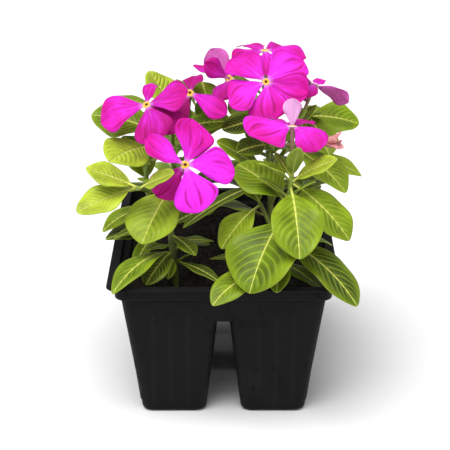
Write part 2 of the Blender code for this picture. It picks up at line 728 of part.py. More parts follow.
def at_height(path, z):
    """The point of a shoot's path at a height."""
    for low, high in zip(path, path[1:]):
        if low.z <= z <= high.z:
            return low.lerp(high, (z - low.z) / (high.z - low.z))
    return path[-1].copy()


def placed_leaf(path, spec):
    """A leaf from its height on the shoot, its tip, width, droop and roll."""
    height, tip, width, droop, roll = spec
    foot = at_height(path, height)
    chord = Vector(tip) - foot
    flat = math.hypot(chord.x, chord.y)
    half_turn = math.radians(droop) / 2 or 1e-4
    length = chord.length * half_turn / math.sin(half_turn)
    wave = 0.05 * width
    return Leaf(foot, math.degrees(math.atan2(chord.y, chord.x)), math.degrees(math.atan2(chord.z, flat)),
                length, width, droop, roll, wave)


def filling_leaves(path, fill, draw):
    """Opposite pairs up a shoot, each pair a quarter turn on from the one below."""
    low, high, pairs, length, heading = fill
    leaves = []
    for pair in range(pairs):
        share = pair / max(1, pairs - 1)
        foot = at_height(path, low + (high - low) * share)
        for side in (0, 180):
            size = length * (1.1 - 0.35 * share) * draw.uniform(0.88, 1.12)
            leaves.append(Leaf(foot, heading + 90 * pair + side + draw.uniform(-12, 12),
                               draw.uniform(8, 24) + 14 * share, size, size * draw.uniform(0.44, 0.52),
                               draw.uniform(25, 45), draw.uniform(-10, 10), 0.02 * size))
    return leaves


def swings(most_turn, most_lift):
    """Turns and lifts in degrees to try, the smallest first."""
    tries = [(6 * i, 6 * j) for i in range(-most_turn, most_turn + 1) for j in range(-most_lift, most_lift + 1)]
    return sorted(tries, key=lambda swing: (abs(swing[0]) + abs(swing[1]), swing))


def bent_clear(leaf, taken, tries):
    """The leaf swung by as little as keeps it clear of all that is in place, or None."""
    for turn, lift in tries:
        swung = leaf._replace(heading=leaf.heading + turn, rise=leaf.rise + lift)
        tree = guard_tree(swung)
        if not any(tree.overlap(other) for other in taken):
            return swung, tree
    return None


def prism_tree(path, radius):
    """A six-sided prism around a line, as a search tree."""
    verts, faces = [], []
    for point, ahead in zip(path, path[1:] + [2 * path[-1] - path[-2]]):
        way = (ahead - point).normalized()
        side = way.orthogonal().normalized()
        turn = Matrix.Rotation(math.radians(60), 3, way)
        for _ in range(6):
            verts.append(point + side * radius)
            side = turn @ side
    for row in range(len(path) - 1):
        for i in range(6):
            a, b = row * 6 + i, row * 6 + (i + 1) % 6
            faces += [(a, b, b + 6), (a, b + 6, a + 6)]
    return BVHTree.FromPolygons(verts, faces)


def rim_tree():
    """The pack's lip and the medium's top, as a search tree."""
    verts, faces = [], []
    rows = [ring((0, 0), (LIP_HALF[0] - inset, LIP_HALF[1] - inset), CORNER, z, 2)
            for inset, z in ((7.5, 70), (6.5, HEIGHT), (0, HEIGHT), (0, HEIGHT - 1.5), (6.5, HEIGHT - 9), (16, 20))]
    for row in rows:
        verts += [Vector(point) for point in row]
    wide = len(rows[0])
    for row in range(len(rows) - 1):
        for i in range(wide):
            a, b = row * wide + i, row * wide + (i + 1) % wide
            faces += [(a, b, b + wide), (a, b + wide, a + wide)]
    level = SOIL_LEVEL + SOIL_ROUGH
    first = len(verts)
    verts += [Vector((x * 60, y * 82, level)) for x, y in ((-1, -1), (1, -1), (1, 1), (-1, 1))]
    faces += [(first, first + 1, first + 2), (first, first + 2, first + 3)]
    return BVHTree.FromPolygons(verts, faces)


def grow():
    """Place every leaf: the hand-placed ones first, then those that fill each shoot, all bent clear."""
    draw = random.Random(SEED)
    taken = [rim_tree()]
    for bloom in BLOOMS.values():
        taken += [BVHTree.FromPolygons(*shape) for shape in petal_shapes(bloom)]
        taken.append(prism_tree(bloom_tube_points(bloom), TUBE_RADII[-1]))
    paths = {name: [shoot_path(shoot) for shoot in shoots] for name, shoots in PLANTS.items()}
    stems = {name: [prism_tree(path, STEM_RADIUS) for path in rows] for name, rows in paths.items()}
    leaves = {name: [] for name in PLANTS}
    for by_hand in (True, False):
        tries = swings(2, 4) if by_hand else swings(5, 7)
        for name, shoots in PLANTS.items():
            others = [tree for other, trees in stems.items() if other != name for tree in trees]
            for shoot, path in zip(shoots, paths[name]):
                if by_hand:
                    wanted = [placed_leaf(path, spec) for spec in shoot.leaves]
                else:
                    wanted = filling_leaves(path, shoot.fill, draw) if shoot.fill else []
                for leaf in wanted:
                    for size in (1.0, 0.85, 0.7, 0.55):
                        trial = leaf._replace(length=leaf.length * size, width=leaf.width * size)
                        found = bent_clear(trial, taken + others, tries)
                        if found:
                            leaves[name].append(found[0])
                            taken.append(found[1])
                            break
    return paths, leaves


def calyx(bloom, collection):
    """The five-pointed cup that holds a bloom's tube."""
    frame = bloom_frame(bloom)
    frame.translation = calyx_place(bloom)
    rings = []
    for radius, notch_radius, z, notch_z in (
            (1.2, 1.2, -CALYX_DEPTH, -CALYX_DEPTH), (CALYX_RADIUS, CALYX_RADIUS, -0.6, -0.6),
            (CALYX_RADIUS + 0.5, CALYX_RADIUS - 0.1, CALYX_POINT, 0.6), (1.3, 1.2, 0, 0)):
        row = []
        for step in range(10):
            r, h = (radius, z) if step % 2 == 0 else (notch_radius, notch_z)
            row.append((r * math.cos(math.pi * step / 5), r * math.sin(math.pi * step / 5), h))
        rings.append(row)
    return loft("calyx", rings, collection, frame)


def build_plant(name, shoots, paths, leaves, collection, cutters):
    """A plant: its stem with its side shoots, the leaves and the sepals, in one body."""
    parts = []
    for index, (shoot, path) in enumerate(zip(shoots, paths)):
        first = STEM_RADIUS if index == 0 else STEM_RADIUS * 0.75
        radii = [first + (TIP_RADIUS - first) * i / (len(path) - 1) for i in range(len(path))]
        if index:
            parts.append(tube("shoot", path, radii, 4, cutters))
        else:
            parts.append(tube(name, path, radii, 6, collection))
        if shoot.bloom:
            parts.append(calyx(BLOOMS[shoot.bloom], cutters))
    parts += [blade_object("leaf", leaf_shape(leaf), cutters) for leaf in leaves]
    boolean(parts[0], parts[1:], "UNION", "EXACT")
    keep_largest_body(parts[0])
    return parts[0]


def main():
    """Build the whole object."""
    clear_scene()
    collection = new_collection("madagascar_periwinkle")
    cutters = new_collection("working_shapes")
    cutters.hide_render = True
    plastic = material("black_plastic", (0.012, 0.012, 0.013), 0.42)
    peat = material("peat", (0.02, 0.014, 0.01), 0.95)
    foliage = material("foliage", (0.22, 0.36, 0.03), 0.4)
    corolla = material("corolla", (0.75, 0.03, 0.5), 0.55)

    for body in part_cells(build_pack(collection, cutters), collection, cutters):
        paint(body, plastic)
    paint(build_medium(collection, cutters), peat)
    for name, bloom in BLOOMS.items():
        paint(build_bloom(name, bloom, collection, cutters), corolla)
    paths, leaves = grow()
    for name, shoots in PLANTS.items():
        paint(build_plant(name, shoots, paths[name], leaves[name], collection, cutters), foliage)
    for obj in collection.objects:
        print(obj.name, len(obj.data.polygons), "faces")


main()
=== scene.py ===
"""Potted Madagascar periwinkle, dressed: the fine pack, soil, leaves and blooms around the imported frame.

A Blender 4.5 script. Sizes and places are in millimetres and degrees, unless a name says otherwise.
"""

from __future__ import annotations

import json
import logging
import math
import random
from collections.abc import Callable, Mapping, Sequence
from dataclasses import dataclass, field, replace
from enum import Enum

import bmesh
import bpy
from mathutils import Matrix, Vector
from mathutils.bvhtree import BVHTree

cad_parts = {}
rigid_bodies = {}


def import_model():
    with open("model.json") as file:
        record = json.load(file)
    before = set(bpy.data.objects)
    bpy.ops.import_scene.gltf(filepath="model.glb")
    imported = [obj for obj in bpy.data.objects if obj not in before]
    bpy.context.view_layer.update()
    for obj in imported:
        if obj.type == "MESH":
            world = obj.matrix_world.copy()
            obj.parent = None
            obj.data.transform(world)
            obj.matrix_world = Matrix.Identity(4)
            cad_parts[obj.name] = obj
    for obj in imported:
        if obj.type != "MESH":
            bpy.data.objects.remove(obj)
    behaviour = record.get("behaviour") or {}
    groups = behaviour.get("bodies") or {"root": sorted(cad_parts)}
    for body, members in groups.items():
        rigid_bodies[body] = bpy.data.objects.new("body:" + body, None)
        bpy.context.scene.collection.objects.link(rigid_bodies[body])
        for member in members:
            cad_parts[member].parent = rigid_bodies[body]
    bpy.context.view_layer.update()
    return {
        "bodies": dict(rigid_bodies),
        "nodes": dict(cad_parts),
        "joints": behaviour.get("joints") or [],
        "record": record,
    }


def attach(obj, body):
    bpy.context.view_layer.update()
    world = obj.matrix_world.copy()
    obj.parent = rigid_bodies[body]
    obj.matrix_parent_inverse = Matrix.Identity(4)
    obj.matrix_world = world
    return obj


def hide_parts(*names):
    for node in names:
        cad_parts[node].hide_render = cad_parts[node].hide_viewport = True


LOG = logging.getLogger("periwinkle")
MM = 0.001
SEED = 7

Tone = tuple[float, float, float, float]
Point = Sequence[float]
Ring = list[tuple[float, float, float]]
Outline = Callable[[float], float]
Relief = Callable[["Leaf", float, float], float]


class Slot(Enum):
    """The record's material slots."""

    PLASTIC = "black_plastic"
    PEAT = "peat"
    FOLIAGE = "foliage"
    COROLLA = "corolla"


def tone(red: float, green: float, blue: float) -> Tone:
    """A linear colour with full cover."""
    return (red, green, blue, 1.0)


# Shader maths


class Signal:
    """A number that runs through a material's nodes: its arithmetic adds Math nodes."""

    def __init__(self, sheet: MaterialSheet, socket: bpy.types.NodeSocket) -> None:
        """Keep the sheet and the socket."""
        self.sheet = sheet
        self.socket = socket

    def __add__(self, other: Signal | float) -> Signal:
        """This plus other."""
        return self.sheet.maths("ADD", self, other)

    __radd__ = __add__

    def __sub__(self, other: Signal | float) -> Signal:
        """This minus other."""
        return self.sheet.maths("SUBTRACT", self, other)

    def __rsub__(self, other: float) -> Signal:
        """Other minus this."""
        return self.sheet.maths("SUBTRACT", other, self)

    def __mul__(self, other: Signal | float) -> Signal:
        """This times other."""
        return self.sheet.maths("MULTIPLY", self, other)

    def __truediv__(self, other: Signal | float) -> Signal:
        """This divided by other."""
        return self.sheet.maths("DIVIDE", self, other)

    def size(self) -> Signal:
        """Its value without its sign."""
        return self.sheet.maths("ABSOLUTE", self)

    def fraction(self) -> Signal:
        """What is left above the whole number below it."""
        return self.sheet.maths("FRACT", self)

    def rise(self, low: float, high: float) -> Signal:
        """A smooth step from 0 to 1.

        Args:
            low: the value up to which it is 0.
            high: the value from which it is 1.

        Returns:
            The step.
        """
        inputs = {"Value": self, "From Min": low, "From Max": high}
        made = self.sheet.node("ShaderNodeMapRange", {"interpolation_type": "SMOOTHSTEP"}, inputs)
        return Signal(self.sheet, made.outputs["Result"])


class MaterialSheet:
    """The node tree of one material around its Principled BSDF."""

    def __init__(self, name: str) -> None:
        """Make an empty material.

        Args:
            name: its name.
        """
        self.material = bpy.data.materials.new(name)
        self.material.use_nodes = True
        self.tree = self.material.node_tree
        self.shader = self.tree.nodes["Principled BSDF"]

    def node(self, kind: str, settings: Mapping[str, object] | None = None,
             inputs: Mapping[str | int, object] | None = None) -> bpy.types.Node:
        """Add a node.

        Args:
            kind: the node's type.
            settings: its own settings, with a ramp's stops under "stops".
            inputs: values or links for its sockets, by name or by number.

        Returns:
            The node.
        """
        made = self.tree.nodes.new(kind)
        for name, value in (settings or {}).items():
            if name == "stops":
                self.set_stops(made.color_ramp, value)
            else:
                setattr(made, name, value)
        for name, value in (inputs or {}).items():
            self.feed(made.inputs[name], value)
        return made

    @staticmethod
    def set_stops(ramp: bpy.types.ColorRamp, stops: Sequence[tuple[float, Tone]]) -> None:
        """Give a colour ramp its stops.

        Args:
            ramp: the ramp, which starts with two stops.
            stops: a place and a colour for each.
        """
        while len(ramp.elements) < len(stops):
            ramp.elements.new(0.5)
        for element, (place, colour) in zip(ramp.elements, stops):
            element.position = place
            element.color = colour

    def feed(self, socket: bpy.types.NodeSocket, value: object) -> None:
        """Link a signal or a socket into another socket, or set its value.

        Args:
            socket: the socket to feed.
            value: what it gets.
        """
        if isinstance(value, Signal):
            self.tree.links.new(value.socket, socket)
        elif isinstance(value, bpy.types.NodeSocket):
            self.tree.links.new(value, socket)
        else:
            socket.default_value = value

    def maths(self, operation: str, *values: Signal | float) -> Signal:
        """One Math node on some values."""
        made = self.node("ShaderNodeMath", {"operation": operation}, dict(enumerate(values)))
        return Signal(self, made.outputs[0])

    def read(self, name: str) -> Signal:
        """A value that the mesh carries at its points."""
        made = self.node("ShaderNodeAttribute", {"attribute_type": "GEOMETRY", "attribute_name": name})
        return Signal(self, made.outputs["Fac"])

    def place(self) -> bpy.types.NodeSocket:
        """The position in the object, in metres."""
        return self.node("ShaderNodeTexCoord").outputs["Object"]

    def heights(self) -> Signal:
        """The height in the object, in metres."""
        made = self.node("ShaderNodeSeparateXYZ", None, {0: self.place()})
        return Signal(self, made.outputs["Z"])

    def vector(self, x: Signal | float, y: Signal | float, z: Signal | float) -> bpy.types.NodeSocket:
        """Three numbers as a vector."""
        return self.node("ShaderNodeCombineXYZ", None, {0: x, 1: y, 2: z}).outputs[0]

    def stretched(self, factors: Point) -> bpy.types.NodeSocket:
        """The position with each axis stretched."""
        inputs = {0: self.place(), 1: tuple(factors)}
        return self.node("ShaderNodeVectorMath", {"operation": "MULTIPLY"}, inputs).outputs[0]

    def noise(self, scale: float, detail: float = 2.0, vector: bpy.types.NodeSocket | None = None,
              roughness: float = 0.5) -> Signal:
        """A noise from 0 to 1.

        Args:
            scale: lumps per unit of the vector.
            detail: how many finer layers it has.
            vector: where it is read, the object's own position if it isn't given.
            roughness: how strong the finer layers are.

        Returns:
            The noise's value.
        """
        inputs = {"Vector": vector or self.place(), "Scale": scale, "Detail": detail, "Roughness": roughness}
        return Signal(self, self.node("ShaderNodeTexNoise", {"noise_dimensions": "3D"}, inputs).outputs[0])

    def mix(self, first: object, second: object, share: Signal | float) -> bpy.types.NodeSocket:
        """A colour between two others."""
        made = self.node("ShaderNodeMix", {"data_type": "RGBA"}, {0: share, 6: first, 7: second})
        return made.outputs[2]

    def dim(self, colour: object, by: Signal) -> bpy.types.NodeSocket:
        """A colour made darker where by is under 1, or brighter where it is over 1.

        Args:
            colour: the colour.
            by: what it is multiplied by.

        Returns:
            The new colour.
        """
        grey = self.node("ShaderNodeCombineColor", None, {0: by, 1: by, 2: by}).outputs[0]
        settings = {"data_type": "RGBA", "blend_type": "MULTIPLY"}
        return self.node("ShaderNodeMix", settings, {0: 1.0, 6: colour, 7: grey}).outputs[2]

    def ramp(self, value: Signal, stops: Sequence[tuple[float, Tone]]) -> bpy.types.NodeSocket:
        """A colour that follows a value."""
        return self.node("ShaderNodeValToRGB", {"stops": stops}, {0: value}).outputs[0]

    def bump(self, height: Signal, depth: float) -> bpy.types.NodeSocket:
        """The normal of a low relief, depth in millimetres."""
        inputs = {"Height": height, "Distance": depth * MM, "Strength": 1.0}
        return self.node("ShaderNodeBump", None, inputs).outputs["Normal"]

    def finished(self, sockets: Mapping[str, object]) -> bpy.types.Material:
        """Feed the shader and hand over the material.

        Args:
            sockets: values or links for the shader's sockets.

        Returns:
            The material.
        """
        for name, value in sockets.items():
            self.feed(self.shader.inputs[name], value)
        return self.material


# Finishes


@dataclass(frozen=True)
class PlasticFinish:
    """Thin black thermoformed plastic: satin, with a fine grain and dusty scuffs; on the ribs a lighter tone
    over the whole part is painted highlight for their lit edges, with a worn look.
    """

    name: str = "black_plastic"
    highlight_and_wear: float = 0.0
    colour: Tone = tone(0.0072, 0.0072, 0.0078)
    dust: Tone = tone(0.019, 0.019, 0.0195)
    smudge: Tone = tone(0.0008, 0.0008, 0.001)
    roughness: float = 0.46
    gloss: float = 0.07

    def material(self) -> bpy.types.Material:
        """Build the material.

        Returns:
            The material.
        """
        sheet = MaterialSheet(self.name)
        clouds = sheet.noise(38.0, 4.0)
        streaks = sheet.noise(1.0, 3.0, sheet.stretched((420.0, 420.0, 45.0)))
        specks = sheet.noise(900.0, 1.0).rise(0.70, 0.78)
        scuffs = sheet.noise(160.0, 5.0, None, 0.7).rise(0.54, 0.66) * sheet.noise(24.0, 1.0).rise(0.44, 0.6)
        low = 1 - sheet.heights().rise(0.004, 0.05)
        # A lighter share over the whole part: on the ribs it is painted highlight for their lit edges, with a
        # worn look.
        dusty = clouds.rise(0.5, 0.85) * 0.3 + streaks.rise(0.5, 0.8) * 0.12 + specks * 0.5 + self.highlight_and_wear
        colour = sheet.mix(self.colour, self.dust, dusty)
        colour = sheet.mix(colour, self.smudge, scuffs * (low * 0.6 + 0.35))
        rough = self.roughness + clouds * 0.14 + scuffs * 0.2
        grain = sheet.noise(2600.0, 1.0) * 0.5 + streaks * 0.5
        return sheet.finished({
            "Base Color": colour, "Roughness": rough, "Specular IOR Level": self.gloss,
            "Normal": sheet.bump(grain, 0.05)})


@dataclass(frozen=True)
class SoilFinish:
    """Moist peat, bark or perlite: a range of tones from lump to lump, rough and crumbly."""

    name: str
    dark: Tone
    light: Tone
    lumps: float = 520.0
    roughness: float = 0.9

    def material(self) -> bpy.types.Material:
        """Build the material.

        Returns:
            The material.
        """
        sheet = MaterialSheet(self.name)
        patches = sheet.noise(self.lumps, 3.0, None, 0.65)
        fibres = sheet.noise(1.0, 2.0, sheet.stretched((2600.0, 900.0, 2600.0)))
        colour = sheet.mix(self.dark, self.light, patches.rise(0.36, 0.7) * 0.8 + fibres * 0.2)
        return sheet.finished({
            "Base Color": colour, "Roughness": self.roughness - fibres * 0.2, "Specular IOR Level": 0.25,
            "Normal": sheet.bump(patches + fibres * 0.6, 0.35)})


@dataclass(frozen=True)
class LeafFinish:
    """A glossy leaf: a pale midrib, arched side veins, quilted green between them, and a paler back.

    Its green is darker for aged leaves, and painted shade makes it darker on leaves that lie in shadow.
    """

    young: Tone = tone(0.46, 0.56, 0.042)
    grown: Tone = tone(0.172, 0.270, 0.005)
    # The darkest green: for aged leaves, and painted shade on leaves that lie in shadow.
    old_and_shaded: Tone = tone(0.046, 0.078, 0.006)
    rib: Tone = tone(0.70, 0.75, 0.15)
    vein: Tone = tone(0.48, 0.58, 0.06)
    back: Tone = tone(0.24, 0.33, 0.07)
    rim: Tone = tone(0.42, 0.50, 0.06)
    margin: Tone = tone(0.30, 0.40, 0.008)
    roughness: float = 0.40

    def material(self) -> bpy.types.Material:
        """Build the material.

        Returns:
            The material.
        """
        sheet = MaterialSheet("leaf")
        along, side, age = sheet.read("along"), sheet.read("across").size(), sheet.read("age")
        blotches = sheet.noise(85.0, 3.0)
        patches = blotches.rise(0.34, 0.66)
        wobble = (sheet.noise(75.0, 2.0) - 0.5) * 0.8
        phase = (along - side * Quilt.LEAN - side * side * Quilt.BEND) * Quilt.VEINS + wobble
        gap = ((phase + 0.5).fraction() - 0.5).size()
        open_part = (1 - side.rise(0.5, 0.95)) * along.rise(0.02, 0.1) * (1 - along.rise(0.82, 0.97))
        vein = (1 - gap.rise(0.02, 0.11)) * open_part
        hollow = (1 - gap.rise(0.05, 0.42)) * open_part
        panel = gap.rise(0.16, 0.46) * open_part
        reach = side * sheet.read("wide") / (0.72 - along * 0.48)
        rib = 1 - reach.rise(0.55, 1.5)
        flank = 1 - reach.rise(1.0, 7.0)

        # Young to grown to darkest green: darker for aged leaves, and painted shade for leaves that lie in
        # shadow.
        green = sheet.mix(self.young, self.grown, age.rise(0.0, 0.5))
        green = sheet.mix(green, self.old_and_shaded, age.rise(0.45, 1.0))
        green = sheet.dim(green, 0.80 + patches * 0.38 - panel * (0.18 + age * 0.25))
        green = sheet.mix(green, self.vein, flank * 0.12)
        margin = side.rise(0.45, 1.0) * (0.12 + age * 0.3) * (0.4 + blotches * 1.2)
        green = sheet.mix(green, self.margin, margin)
        green = sheet.mix(green, self.vein, vein * (0.14 + blotches * 0.42 + age * 0.3))
        green = sheet.mix(green, self.rim, side.rise(0.93, 1.0) * 0.35)
        green = sheet.mix(green, self.rib, rib * 0.92)
        green = sheet.mix(green, self.back, sheet.read("under") * 0.6)

        fine = sheet.noise(1500.0, 2.0)
        rough = self.roughness + sheet.read("under") * 0.2 + blotches * 0.12 - rib * 0.05
        height = 1 - vein * 0.4 - hollow * 0.6 - rib * 0.7 + fine * 0.10 + blotches * 0.8
        return sheet.finished({
            "Base Color": green, "Roughness": rough, "Specular IOR Level": 0.15,
            "Subsurface Weight": 0.12, "Subsurface Radius": (0.8, 1.0, 0.2), "Subsurface Scale": 0.001,
            "Coat Weight": 0.12, "Coat Roughness": 0.17, "Normal": sheet.bump(height, 0.62)})


@dataclass(frozen=True)
class StemFinish:
    """A smooth green stem, flushed reddish brown in places and darker near the soil."""

    green: Tone = tone(0.21, 0.30, 0.03)
    flush: Tone = tone(0.20, 0.06, 0.02)
    base: Tone = tone(0.055, 0.062, 0.014)

    def material(self) -> bpy.types.Material:
        """Build the material.

        Returns:
            The material.
        """
        sheet = MaterialSheet("stem")
        patches = sheet.noise(55.0, 2.0).rise(0.52, 0.72)
        fibres = sheet.noise(1.0, 2.0, sheet.stretched((3000.0, 3000.0, 240.0)))
        colour = sheet.mix(self.green, self.flush, patches * 0.65)
        colour = sheet.mix(colour, self.base, (1 - sheet.heights().rise(0.085, 0.13)) * 0.7)
        colour = sheet.dim(colour, 0.8 + fibres * 0.4)
        return sheet.finished({
            "Base Color": colour, "Roughness": 0.42 + fibres * 0.15, "Normal": sheet.bump(fibres, 0.12),
            "Subsurface Weight": 0.1, "Subsurface Radius": (0.8, 1.0, 0.2), "Subsurface Scale": 0.001})


@dataclass(frozen=True)
class PetalFinish:
    """A velvety magenta petal: fine veins that fan from its claw, a pale foot and a paler back, with painted
    shade in deep crimson on petals that lie in shadow and along creases.
    """

    name: str = "petal"
    violet: Tone = tone(0.84, 0.030, 0.88)
    rose: Tone = tone(0.62, 0.002, 0.28)
    halo: Tone = tone(0.86, 0.42, 0.86)
    back: Tone = tone(0.50, 0.10, 0.32)
    # Deep crimson: painted shade on petals in shadow and in their creases, and random darker blotches.
    crimson: Tone = tone(0.36, 0.001, 0.13)
    lilac: Tone = tone(0.88, 0.47, 0.80)
    roughness: float = 0.62

    def material(self) -> bpy.types.Material:
        """Build the material.

        Returns:
            The material.
        """
        sheet = MaterialSheet(self.name)
        along, across = sheet.read("along"), sheet.read("across")
        under = sheet.read("under")
        fan = sheet.vector(across * 7.0, along * 1.4, sheet.read("age") * 9.0)
        streaks = sheet.noise(1.0, 3.0, fan)
        lines = ((across * 7.0 + streaks * 1.2).fraction() - 0.5).size()
        vein = (1 - lines.rise(0.0, 0.2)) * (1 - along.rise(0.8, 1.0))
        clouds = sheet.noise(70.0, 2.0)
        # The shade value: below 0 it paints deep crimson shade on a petal that lies in shadow, above 0 it
        # turns the petal violet and then pale lilac.
        shade = sheet.read("shade")
        rosy = streaks * 0.7 + clouds * 0.5 - shade.rise(0.0, 0.4) * 0.32 + along.rise(0.3, 1.0) * 0.2 - 0.07
        colour = sheet.mix(self.violet, self.rose, rosy.rise(0.28, 0.82))
        colour = sheet.dim(colour, 1.03 - vein * 0.16)
        foot = 1 - along.rise(0.02, 0.17)
        streak = (1 - along.rise(0.08, 0.42)) * (1 - (across.size() + streaks * 0.5).rise(0.15, 0.55))
        # Painted shade: a petal in shadow turns deep crimson, unevenly.
        painted_fold_shade = (streaks + clouds * 0.5).rise(0.45, 0.95) * 0.5 + 0.5
        colour = sheet.mix(colour, self.crimson, (0 - shade).rise(0.0, 1.1) * painted_fold_shade)
        # Painted shade in the creases that run out from the eye, with random darker blotches towards the tip.
        painted_crease_shade = ((across * 1.6 + streaks * 0.35).fraction() - 0.5).size()
        painted_crease_shade = (1 - painted_crease_shade.rise(0.0, 0.17)) * along.rise(0.12, 0.45) * (1 - along.rise(0.8, 1.0))
        blush = sheet.noise(42.0, 2.0).rise(0.46, 0.68) * along.rise(0.35, 0.8)
        colour = sheet.mix(colour, self.crimson, painted_crease_shade * clouds.rise(0.35, 0.6) * 0.85 + blush * 0.32)
        colour = sheet.mix(colour, self.halo, foot * 0.8 + streak * 0.2)
        specks = sheet.noise(1100.0, 2.0).rise(0.5, 0.7)
        back = sheet.mix(sheet.dim(self.back, 0.8 + streaks * 0.5), self.lilac, specks * 0.3)
        colour = sheet.mix(colour, back, under * 0.85)
        colour = sheet.mix(colour, sheet.dim(self.lilac, 0.8 + streaks * 0.35), shade.rise(0.35, 1.0) * 0.85)
        velvet = sheet.noise(2400.0, 1.0)
        height = streaks * 0.8 - vein * 0.5 + velvet * 0.10
        return sheet.finished({
            "Base Color": colour, "Roughness": self.roughness - foot * 0.1, "Specular IOR Level": 0.14,
            "Subsurface Weight": 0.2, "Subsurface Radius": (1.0, 0.1, 0.8), "Subsurface Scale": 0.0015,
            "Sheen Weight": 0.04, "Sheen Roughness": 0.5, "Normal": sheet.bump(height, 0.22)})


@dataclass(frozen=True)
class FadedFinish(PetalFinish):
    """The petal of a bloom that is over: cream and dull pink in place of magenta."""

    name: str = "faded_petal"
    violet: Tone = tone(0.78, 0.34, 0.36)
    rose: Tone = tone(0.50, 0.06, 0.16)
    halo: Tone = tone(0.86, 0.56, 0.34)
    back: Tone = tone(0.64, 0.22, 0.24)
    lilac: Tone = tone(0.84, 0.50, 0.36)


@dataclass(frozen=True)
class EyeFinish:
    """The eye and its tube: a dark throat, a golden ring, a white edge and a greenish pink tube."""

    throat: Tone = tone(0.26, 0.12, 0.03)
    gold: Tone = tone(0.86, 0.50, 0.05)
    cream: Tone = tone(0.92, 0.78, 0.42)
    edge: Tone = tone(0.92, 0.66, 0.86)
    tube: Tone = tone(0.44, 0.15, 0.25)
    foot: Tone = tone(0.24, 0.28, 0.06)

    def material(self) -> bpy.types.Material:
        """Build the material.

        Returns:
            The material.
        """
        sheet = MaterialSheet("eye")
        grain = sheet.noise(1500.0, 2.0)
        stops = ((0.0, self.throat), (0.20, self.throat), (0.27, self.gold), (0.38, self.gold),
                 (0.44, self.cream), (0.52, self.edge), (0.60, self.tube), (1.0, self.foot))
        colour = sheet.dim(sheet.ramp(sheet.read("along"), stops), 0.85 + grain * 0.3)
        return sheet.finished({
            "Base Color": colour, "Roughness": 0.55 + grain * 0.1, "Specular IOR Level": 0.3,
            "Normal": sheet.bump(grain, 0.15)})


@dataclass(frozen=True)
class FloorFinish:
    """The plain pale floor."""

    colour: Tone = tone(0.86, 0.86, 0.86)

    def material(self) -> bpy.types.Material:
        """The material."""
        return MaterialSheet("floor").finished(
            {"Base Color": self.colour, "Roughness": 0.8, "Specular IOR Level": 0.1})


# Meshes


@dataclass
class Sheaf:
    """What one piece is gathered from: its points, faces, material numbers and the values at its points."""

    points: list[Vector] = field(default_factory=list)
    faces: list[tuple[int, ...]] = field(default_factory=list)
    slots: list[int] = field(default_factory=list)
    values: dict[str, list[float]] = field(default_factory=dict)

    def add(self, shape: Shape, slot: int = 0) -> None:
        """Add a closed shape, turned so that its faces point outwards.

        Args:
            shape: the shape.
            slot: the number of its material.
        """
        start = len(self.points)
        outwards = shape.volume() > 0
        for face in shape.faces:
            ring = face if outwards else face[::-1]
            self.faces.append(tuple(start + i for i in ring))
            self.slots.append(slot)
        for name, row in shape.values.items():
            self.values.setdefault(name, [0.0] * start).extend(row)
        self.points += shape.points
        for row in self.values.values():
            row += [0.0] * (len(self.points) - len(row))

    def piece(self, name: str, materials: Sequence[bpy.types.Material]) -> bpy.types.Object:
        """Make the piece's object.

        Args:
            name: the piece's name.
            materials: its materials, in the order of their numbers.

        Returns:
            The object, at the origin.
        """
        mesh = bpy.data.meshes.new(name)
        mesh.from_pydata([point * MM for point in self.points], [], self.faces)
        mesh.polygons.foreach_set("material_index", self.slots)
        mesh.polygons.foreach_set("use_smooth", [True] * len(self.faces))
        for key, row in self.values.items():
            mesh.attributes.new(key, "FLOAT", "POINT").data.foreach_set("value", row)
        for material in materials:
            mesh.materials.append(material)
        mesh.update()
        return shown(name, mesh)


@dataclass(frozen=True)
class Shape:
    """A closed shape: its points, its faces and the values at its points."""

    points: list[Vector]
    faces: list[tuple[int, ...]]
    values: dict[str, list[float]] = field(default_factory=dict)

    def volume(self) -> float:
        """The volume that its faces hold.

        Returns:
            The volume, under zero where the faces point inwards.
        """
        total = 0.0
        for face in self.faces:
            first = self.points[face[0]]
            for a, b in zip(face[1:], face[2:]):
                total += first.dot(self.points[a].cross(self.points[b]))
        return total / 6


def shown(name: str, mesh: bpy.types.Mesh) -> bpy.types.Object:
    """Put a mesh into the scene.

    Args:
        name: the object's name.
        mesh: the mesh.

    Returns:
        The object.
    """
    made = bpy.data.objects.new(name, mesh)
    bpy.context.scene.collection.objects.link(made)
    return made


def settled(source: bpy.types.Object, name: str) -> bpy.types.Mesh:
    """The plain mesh that an object's modifiers make, which are then removed.

    Args:
        source: the object.
        name: the new mesh's name.

    Returns:
        The mesh.
    """
    graph = bpy.context.evaluated_depsgraph_get()
    mesh = bpy.data.meshes.new_from_object(source.evaluated_get(graph))
    source.modifiers.clear()
    mesh.name = name
    return mesh


def on_body(piece: bpy.types.Object, slot: Slot, *nodes: str) -> None:
    """Let a finished piece ride on the object's one body and stand for some CAD nodes.

    Args:
        piece: the piece.
        slot: the record's slot of its finish, which is not used.
        nodes: the CAD nodes that it replaces.
    """
    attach(piece, "root")
    if nodes:
        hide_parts(*nodes)
    LOG.info("%s: %d faces", piece.name, len(piece.data.polygons))


# Blades: leaves, petals and sepals share one construction


@dataclass(frozen=True)
class Leaf:
    """A leaf or petal: where its foot is, its pointing, size, bend over its length, roll and edge wave.

    How far it has aged and its shade value steer its colour, and both also paint shade: darker greens on
    leaves and deep crimson on petals that lie in shadow. Lean is how far its tip lies to its left, in half
    widths.
    """

    foot: Vector
    heading: float
    rise: float
    length: float
    width: float
    droop: float
    roll: float
    wave: float
    age: float = 0.5
    shade: float = 0.0
    lean: float = 0.0


